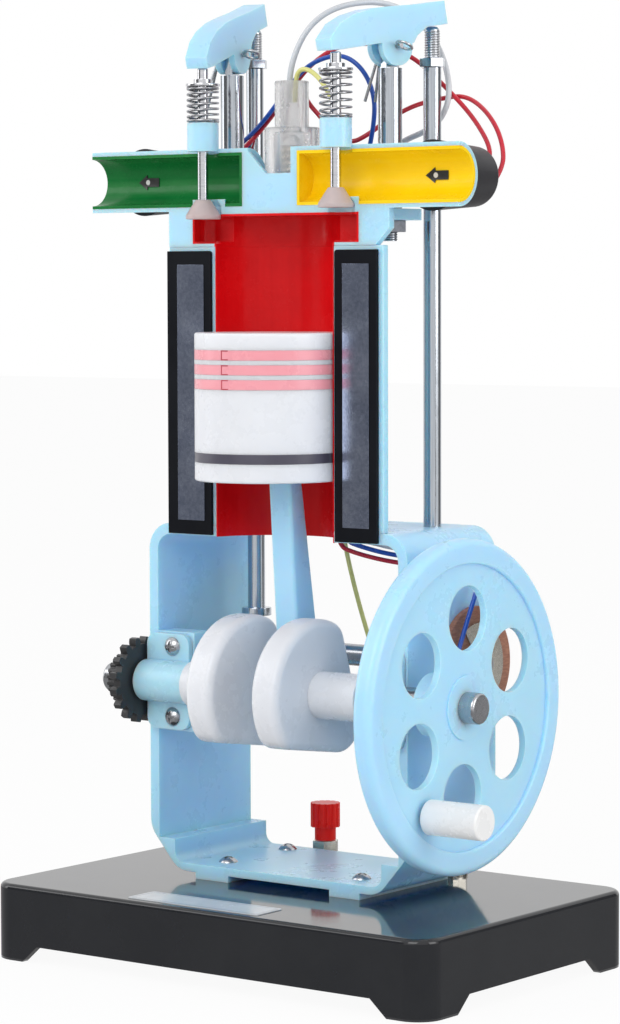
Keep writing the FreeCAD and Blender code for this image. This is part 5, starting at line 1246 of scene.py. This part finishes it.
@dataclass
class RockerPosts:
    """Posts, their nuts and split pins."""

    looks: Looks = (("rocker_posts", "rod_steel", 0.2), ("post_nuts", "nut_steel", 0.3),
                    ("cotter_pins", "screw_steel", 0.0))
    places: tuple[tuple[float, float], ...] = ((-38.901, 6.639), (32.918, 6.562))
    stud_span: tuple[float, float] = (262.3, 265.3)
    radii: tuple[float, float] = (2.3, 2.6)
    pitch: float = 0.8

    def build(self, model: Model) -> None:
        """Dresses the posts and threads their lower studs.

        Args:
            model: the model.
        """
        model.dress(self.looks)
        mesh = bmesh.new()
        span = tuple(MM * value for value in self.stud_span)
        radii = tuple(MM * value for value in self.radii)
        for place in self.places:
            thread(mesh, Vector((*place, 0.0)) * MM, span, radii, self.pitch * MM)
        model.add(new_piece("post_stud_threads", mesh, ROUND_BAR), "stand", "nut_steel")


@dataclass
class IgnitionLamp:
    """Lamp in place of a spark plug: clear cup and barrel round a screw-base bulb."""

    looks: Looks = (("plug_socket", "clear_cup", 0.3), ("plug_cap", "clear_cup", 0.2))
    place: tuple[float, float] = (-3.5, -3.4)
    foot: float = 286.7
    base_top: float = 296.5
    radii: tuple[float, float] = (3.65, 4.2)
    pitch: float = 2.4
    glass_sunk: float = 0.4  # how deep the glass stands in its screw base
    glass_foot_radius: float = 3.2
    glass_radius: float = 3.4
    glass_top: float = 300.4
    glass_steps: int = 9

    def build(self, model: Model) -> None:
        """Dresses the clear pieces and adds the bulb.

        Args:
            model: the model.
        """
        model.dress(self.looks)
        axis = Vector((*self.place, 0.0)) * MM
        mesh = bmesh.new()
        radii = tuple(MM * value for value in self.radii)
        thread(mesh, axis, (self.foot * MM, self.base_top * MM), radii, self.pitch * MM, sides=40)
        model.add(new_piece("bulb_screw_base", mesh, ROUND_BAR), "stand", "bulb_brass", ["plug_bulb"])
        mesh = bmesh.new()
        rise = self.glass_top - self.base_top
        sunk = (self.base_top - self.glass_sunk) * MM
        profile = [(0.0, sunk), (self.glass_foot_radius * MM, sunk)]
        for step in range(self.glass_steps + 1):
            angle = math.radians(90 * step / self.glass_steps)
            profile.append((self.glass_radius * math.cos(angle) * MM,
                            (self.base_top + rise * math.sin(angle)) * MM))
        profile[-1] = (0.0, self.glass_top * MM)
        turned(mesh, axis, profile, sides=32)
        model.add(new_piece("bulb_glass", mesh, smooth=60.0), "stand", "bulb_glass")


@dataclass
class Harness:
    """The held wires, each on its own smooth line."""

    radius: float = 0.85
    lead_radius: float = 1.05
    routes: dict[str, tuple[str, list[Point]]] = field(default_factory=lambda: {
        "wire_red_lamps": ("wire_red", [
            (-66.0, 18.7, 289.0), (-64.5, 22.5, 291.0), (-56.0, 22.0, 292.0), (-46.5, 18.6, 295.0),
            (-37.4, 18.0, 301.0), (-25.6, 15.0, 309.8), (-16.3, 12.0, 317.0), (-8.2, 11.0, 324.6),
            (-0.4, 12.0, 330.1), (6.6, 15.0, 333.5), (17.2, 25.0, 333.8), (25.0, 33.0, 328.4),
            (30.6, 37.0, 322.2), (43.3, 37.0, 311.2), (53.4, 32.4, 303.3), (62.0, 27.0, 295.3),
            (64.0, 23.5, 290.0), (63.5, 18.7, 287.0)]),
        "wire_red_plug": ("wire_red", [
            (-3.4, 3.4, 315.5), (-3.8, 7.0, 312.0), (0.9, 8.5, 306.8), (4.6, 10.5, 301.0),
            (9.5, 14.5, 297.6), (15.2, 17.0, 300.5), (20.5, 22.0, 306.0), (25.6, 31.0, 311.4),
            (31.0, 39.0, 313.8), (40.8, 39.8, 315.0), (50.6, 36.4, 311.5), (61.0, 31.0, 304.5),
            (67.2, 27.5, 296.0), (69.4, 24.5, 287.5), (68.2, 18.7, 281.5)]),
        "wire_red_board": ("wire_red", [
            (57.5, 18.7, 281.0), (54.0, 21.0, 281.0), (44.0, 18.0, 283.0), (32.0, 16.8, 284.0),
            (20.0, 18.2, 279.5), (9.0, 18.4, 270.0), (1.0, 19.3, 257.0), (-1.8, 20.2, 240.0),
            (-1.4, 19.6, 204.0), (-1.8, 20.2, 166.0), (-0.4, 19.8, 151.0), (7.0, 19.2, 148.8),
            (20.0, 19.2, 146.6), (33.0, 19.0, 145.6), (44.0, 21.0, 145.7), (50.5, 28.6, 146.4),
            (58.0, 29.8, 146.0), (60.4, 29.5, 138.0), (60.2, 30.0, 131.0), (59.4, 30.5, 125.5)]),
        "wire_blue_board": ("wire_blue", [
            (-70.0, 18.7, 290.0), (-67.0, 24.5, 293.0), (-56.0, 25.0, 295.0), (-48.0, 20.6, 297.6),
            (-35.8, 15.9, 303.4), (-27.0, 12.8, 308.6), (-14.8, 9.6, 318.6), (-5.7, 8.6, 326.0),
            (4.7, 9.0, 329.2), (12.5, 9.4, 328.4), (19.0, 11.0, 322.5), (21.9, 12.6, 313.2),
            (20.6, 13.4, 303.0), (14.5, 17.4, 291.0), (7.2, 20.8, 281.0), (2.8, 21.2, 268.0),
            (1.8, 20.6, 236.0), (1.4, 20.0, 202.0), (1.7, 20.3, 168.0), (2.2, 20.3, 153.0),
            (9.6, 19.4, 151.2), (21.0, 19.0, 149.2), (33.0, 18.9, 148.2), (43.5, 19.6, 148.6),
            (50.5, 25.6, 149.4), (58.0, 26.4, 149.0), (60.6, 22.5, 140.5), (60.4, 16.6, 129.5),
            (60.0, 11.2, 118.5), (59.3, 9.0, 112.0)]),
        "wire_yellow_post": ("wire_yellow", [
            (-2.1, -3.4, 312.0), (-2.1, -3.4, 319.6), (0.4, -3.8, 324.0), (5.4, -4.0, 323.4),
            (10.9, -4.0, 318.8), (14.6, -3.0, 312.0), (14.8, 1.5, 304.5), (10.4, 8.5, 297.5),
            (4.5, 15.5, 291.0), (-0.5, 19.5, 281.0), (-3.0, 22.2, 269.0), (-2.0, 23.2, 240.0),
            (-1.6, 22.8, 202.0), (-1.9, 23.3, 166.0), (-0.6, 23.4, 153.0), (1.2, 28.0, 134.0),
            (4.2, 33.4, 114.0), (9.4, 40.0, 88.0), (17.6, 44.6, 62.0), (23.5, 46.0, 44.0),
            (26.0, 46.4, 34.4)]),
        "wire_white_lead": ("wire_white", [
            (-4.8, -3.4, 312.0), (-4.8, -3.4, 321.0), (-2.7, -2.0, 330.9), (0.6, 2.0, 339.9),
            (6.0, 9.0, 346.2), (12.6, 20.0, 348.9), (17.8, 30.0, 348.0), (22.0, 38.4, 343.2),
            (29.2, 40.0, 335.1), (37.0, 36.0, 324.7), (40.4, 33.0, 313.6), (36.8, 32.2, 305.6),
            (30.4, 31.0, 301.6), (22.5, 30.0, 299.0), (14.0, 28.0, 293.5), (7.0, 26.0, 283.0),
            (2.9, 24.8, 268.0), (2.0, 23.6, 236.0), (2.3, 24.2, 202.0), (1.9, 23.3, 168.0),
            (2.2, 23.2, 153.2), (12.4, 22.4, 152.8), (22.5, 19.6, 151.6), (33.0, 18.6, 151.0),
            (42.5, 20.2, 151.2), (49.6, 28.6, 151.0), (57.4, 30.4, 150.6), (61.0, 34.6, 144.5),
            (60.8, 36.8, 135.0), (58.9, 36.4, 126.4)]),
    })

    def build(self, model: Model) -> None:
        """Lays every wire.

        Args:
            model: the model.
        """
        for name, (node, points) in self.routes.items():
            radius = self.lead_radius if node == "wire_white" else self.radius
            model.add(self.wire(name, points, radius), "stand", node, [node])

    def wire(self, name: str, points: list[Point], radius: float) -> bpy.types.Object:
        """Builds one wire on a smooth spline.

        Args:
            name: the piece's name.
            points: the spline's control points.
            radius: the wire's radius.

        Returns:
            The piece.
        """
        data = bpy.data.curves.new(name, "CURVE")
        data.dimensions = "3D"
        spline = data.splines.new("NURBS")
        spline.points.add(len(points) - 1)
        for target, point in zip(spline.points, points):
            target.co = (*(MM * value for value in point), 1.0)
        spline.order_u = 3
        spline.use_endpoint_u = True
        data.resolution_u = 10
        data.bevel_depth = radius * MM
        data.bevel_resolution = 4
        data.use_fill_caps = True
        made = bpy.data.objects.new(name, data)
        bpy.context.scene.collection.objects.link(made)
        return made


# ------------------------------------------------------------------ studio
@dataclass
class Studio:
    """Camera, pale floor, soft lamps and world."""

    camera_place: Point = (0.7564, -0.9893, 0.2467)
    azimuth: float = 37.34
    elevation: float = 3.78
    roll: float = -0.144
    lens: float = 121.0
    sky: float = 0.6
    floor_colour: Colour = (0.86, 0.86, 0.86)
    floor_mottle: float = 0.99
    floor_white: float = 0.94
    floor_reach: float = 6.0
    floor_drop: float = 0.0002
    lamps: tuple[tuple[str, Point, Point, float, float], ...] = (
        ("key_lamp", (0.35, -1.25, 1.05), (0.0, -0.02, 0.2), 0.9, 8.8),
        ("fill_lamp", (-1.2, -0.85, 0.7), (0.0, -0.02, 0.2), 1.0, 6.5),
        ("side_lamp", (1.4, 0.1, 0.6), (0.0, 0.0, 0.2), 0.8, 6.5))
    cards: tuple[tuple[str, Point, Point, tuple[float, float], float], ...] = (
        ("front_card", (-0.72, -0.95, 0.2), (0.0, 0.0, 0.2), (0.9, 0.9), 0.17),
        ("side_card", (0.75, 0.9, 0.2), (0.0, 0.0, 0.2), (0.9, 0.8), 0.2),
        ("floor_card", (0.0, -0.1, 0.0008), (0.0, -0.1, 1.0), (1.7, 1.7), 0.4),
        ("narrow_card", (1.15, -0.25, 0.3), (0.0, 0.0, 0.25), (0.10, 0.9), 0.02))

    def build(self) -> None:
        """Sets the stage."""
        self.camera()
        self.floor()
        self.world()
        for lamp in self.lamps:
            self.lamp(*lamp)
        for card in self.cards:
            self.card(*card)
        bpy.context.scene.view_settings.view_transform = "Standard"

    def camera(self) -> None:
        """Makes the camera, turned by its azimuth, elevation and roll."""
        data = bpy.data.cameras.new("camera")
        data.lens = self.lens
        data.sensor_width = 36.0
        data.clip_start = 0.05
        data.clip_end = 20.0
        made = bpy.data.objects.new("camera", data)
        bpy.context.scene.collection.objects.link(made)
        turn, rise = math.radians(self.azimuth), math.radians(self.elevation)
        back = Vector((math.sin(turn) * math.cos(rise), -math.cos(turn) * math.cos(rise), math.sin(rise)))
        aim = (-back).to_track_quat("-Z", "Y")
        made.rotation_mode = "QUATERNION"
        made.rotation_quaternion = aim @ Quaternion((0.0, 0.0, 1.0), math.radians(self.roll))
        made.location = self.camera_place
        bpy.context.scene.camera = made

    def seen(self, graph: Graph) -> bpy.types.NodeSocket:
        """Tells the rays that see the surroundings from the rays that light the model.

        Args:
            graph: the graph of the floor or the world.

        Returns:
            The socket that is 1 for camera, glossy and transmission rays.
        """
        path = graph.node("LightPath")
        seen = graph.calc("MAXIMUM", path.outputs["Is Camera Ray"], path.outputs["Is Glossy Ray"])
        return graph.calc("MAXIMUM", seen, path.outputs["Is Transmission Ray"])

    def floor(self) -> None:
        """Makes the white floor, which keeps a soft shadow of the model."""
        mesh = bmesh.new()
        reach = self.floor_reach
        mesh.faces.new([mesh.verts.new((side_x * reach, side_y * reach, -self.floor_drop))
                        for side_x, side_y in ((-1, -1), (1, -1), (1, 1), (-1, 1))])
        made = new_piece("floor", mesh)
        finish, graph, shader = new_material("floor_paper")
        tone = graph.noise(graph.place(), 3.0, 2.0)
        darker = tuple(self.floor_mottle * value for value in self.floor_colour)
        graph.feed(shader.inputs["Base Color"], graph.blend(tone, self.floor_colour, darker))
        graph.feed(shader.inputs["Roughness"], 0.9)
        graph.feed(shader.inputs["Specular IOR Level"], 0.1)
        white = graph.node("Emission", {"Color": WHITE, "Strength": 1.0})
        mixed = graph.node("MixShader", {"Fac": graph.calc("MULTIPLY", self.seen(graph), self.floor_white)})
        graph.feed(mixed.inputs[1], shader.outputs[0])
        graph.feed(mixed.inputs[2], white.outputs[0])
        graph.feed(graph.tree.nodes["Material Output"].inputs["Surface"], mixed.outputs[0])
        made.data.materials.append(finish)

    def world(self) -> None:
        """Makes the soft surrounding light, white where the camera or a reflection sees it."""
        made = bpy.data.worlds.new("studio")
        made.use_nodes = True
        made.node_tree.nodes.clear()
        graph = Graph(made.node_tree)
        soft = graph.node("Background", {"Color": WHITE, "Strength": self.sky})
        white = graph.node("Background", {"Color": WHITE, "Strength": 1.0})
        mixed = graph.node("MixShader")
        graph.feed(mixed.inputs[0], self.seen(graph))
        graph.feed(mixed.inputs[1], soft.outputs[0])
        graph.feed(mixed.inputs[2], white.outputs[0])
        graph.node("OutputWorld", {"Surface": mixed.outputs[0]})
        bpy.context.scene.world = made

    def lamp(self, name: str, place: Point, aim: Point, size: float, power: float) -> None:
        """Adds a square soft lamp.

        Args:
            name: its name.
            place: where it stands.
            aim: what it points at.
            size: its side.
            power: its power in watts.
        """
        data = bpy.data.lights.new(name, "AREA")
        data.size = size
        data.energy = power
        made = bpy.data.objects.new(name, data)
        made.location = place
        made.rotation_mode = "QUATERNION"
        made.rotation_quaternion = (Vector(aim) - Vector(place)).to_track_quat("-Z", "Y")
        bpy.context.scene.collection.objects.link(made)

    def card(self, name: str, place: Point, aim: Point, size: tuple[float, float], glow: float) -> None:
        """Adds a grey card that only reflections see, as the darker parts of a room.

        Args:
            name: its name.
            place: where it stands.
            aim: what it faces.
            size: its width and height.
            glow: how light it looks, from black at 0 to white at 1.
        """
        mesh = bmesh.new()
        mesh.faces.new([mesh.verts.new((side_x * size[0] / 2, side_y * size[1] / 2, 0.0))
                        for side_x, side_y in ((-1, -1), (1, -1), (1, 1), (-1, 1))])
        turn = (Vector(aim) - Vector(place)).to_track_quat("Z", "Y")
        bmesh.ops.transform(mesh, matrix=Matrix.LocRotScale(Vector(place), turn, None), verts=mesh.verts)
        made = new_piece(name, mesh)
        finish, graph, shader = new_material(name + "_felt")
        graph.feed(shader.inputs["Base Color"], BLACK)
        graph.feed(shader.inputs["Specular IOR Level"], 0.0)
        graph.feed(shader.inputs["Emission Color"], WHITE)
        graph.feed(shader.inputs["Emission Strength"], glow)
        made.data.materials.append(finish)
        made.visible_camera = False
        made.visible_diffuse = False
        made.visible_shadow = False
        made.visible_transmission = False


def main() -> None:
    """Builds the sub-assemblies in order and dresses them."""
    logging.basicConfig(level=logging.INFO, format="%(name)s: %(message)s")
    model = Model()
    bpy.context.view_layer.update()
    parts = [
        Plinth(), Crankcase(), CrankTrain(), PistonAssembly(), Cylinder(), Head(), RockerPosts(),
        IgnitionLamp(),
        ValveTrain(Side.EXHAUST, valve=(-33.2, -17.6), rod=(-43.4, 25.764), drop=3.4, lift=2.683),
        ValveTrain(Side.INTAKE, valve=(26.9, -17.6), rod=(37.7, 25.764), drop=0.0, lift=0.0), Harness(),
    ]
    for part in parts:
        part.build(model)
        LOG.info("dressed %s", type(part).__name__)
    Studio().build()


if __name__ == "__main__":
    main()
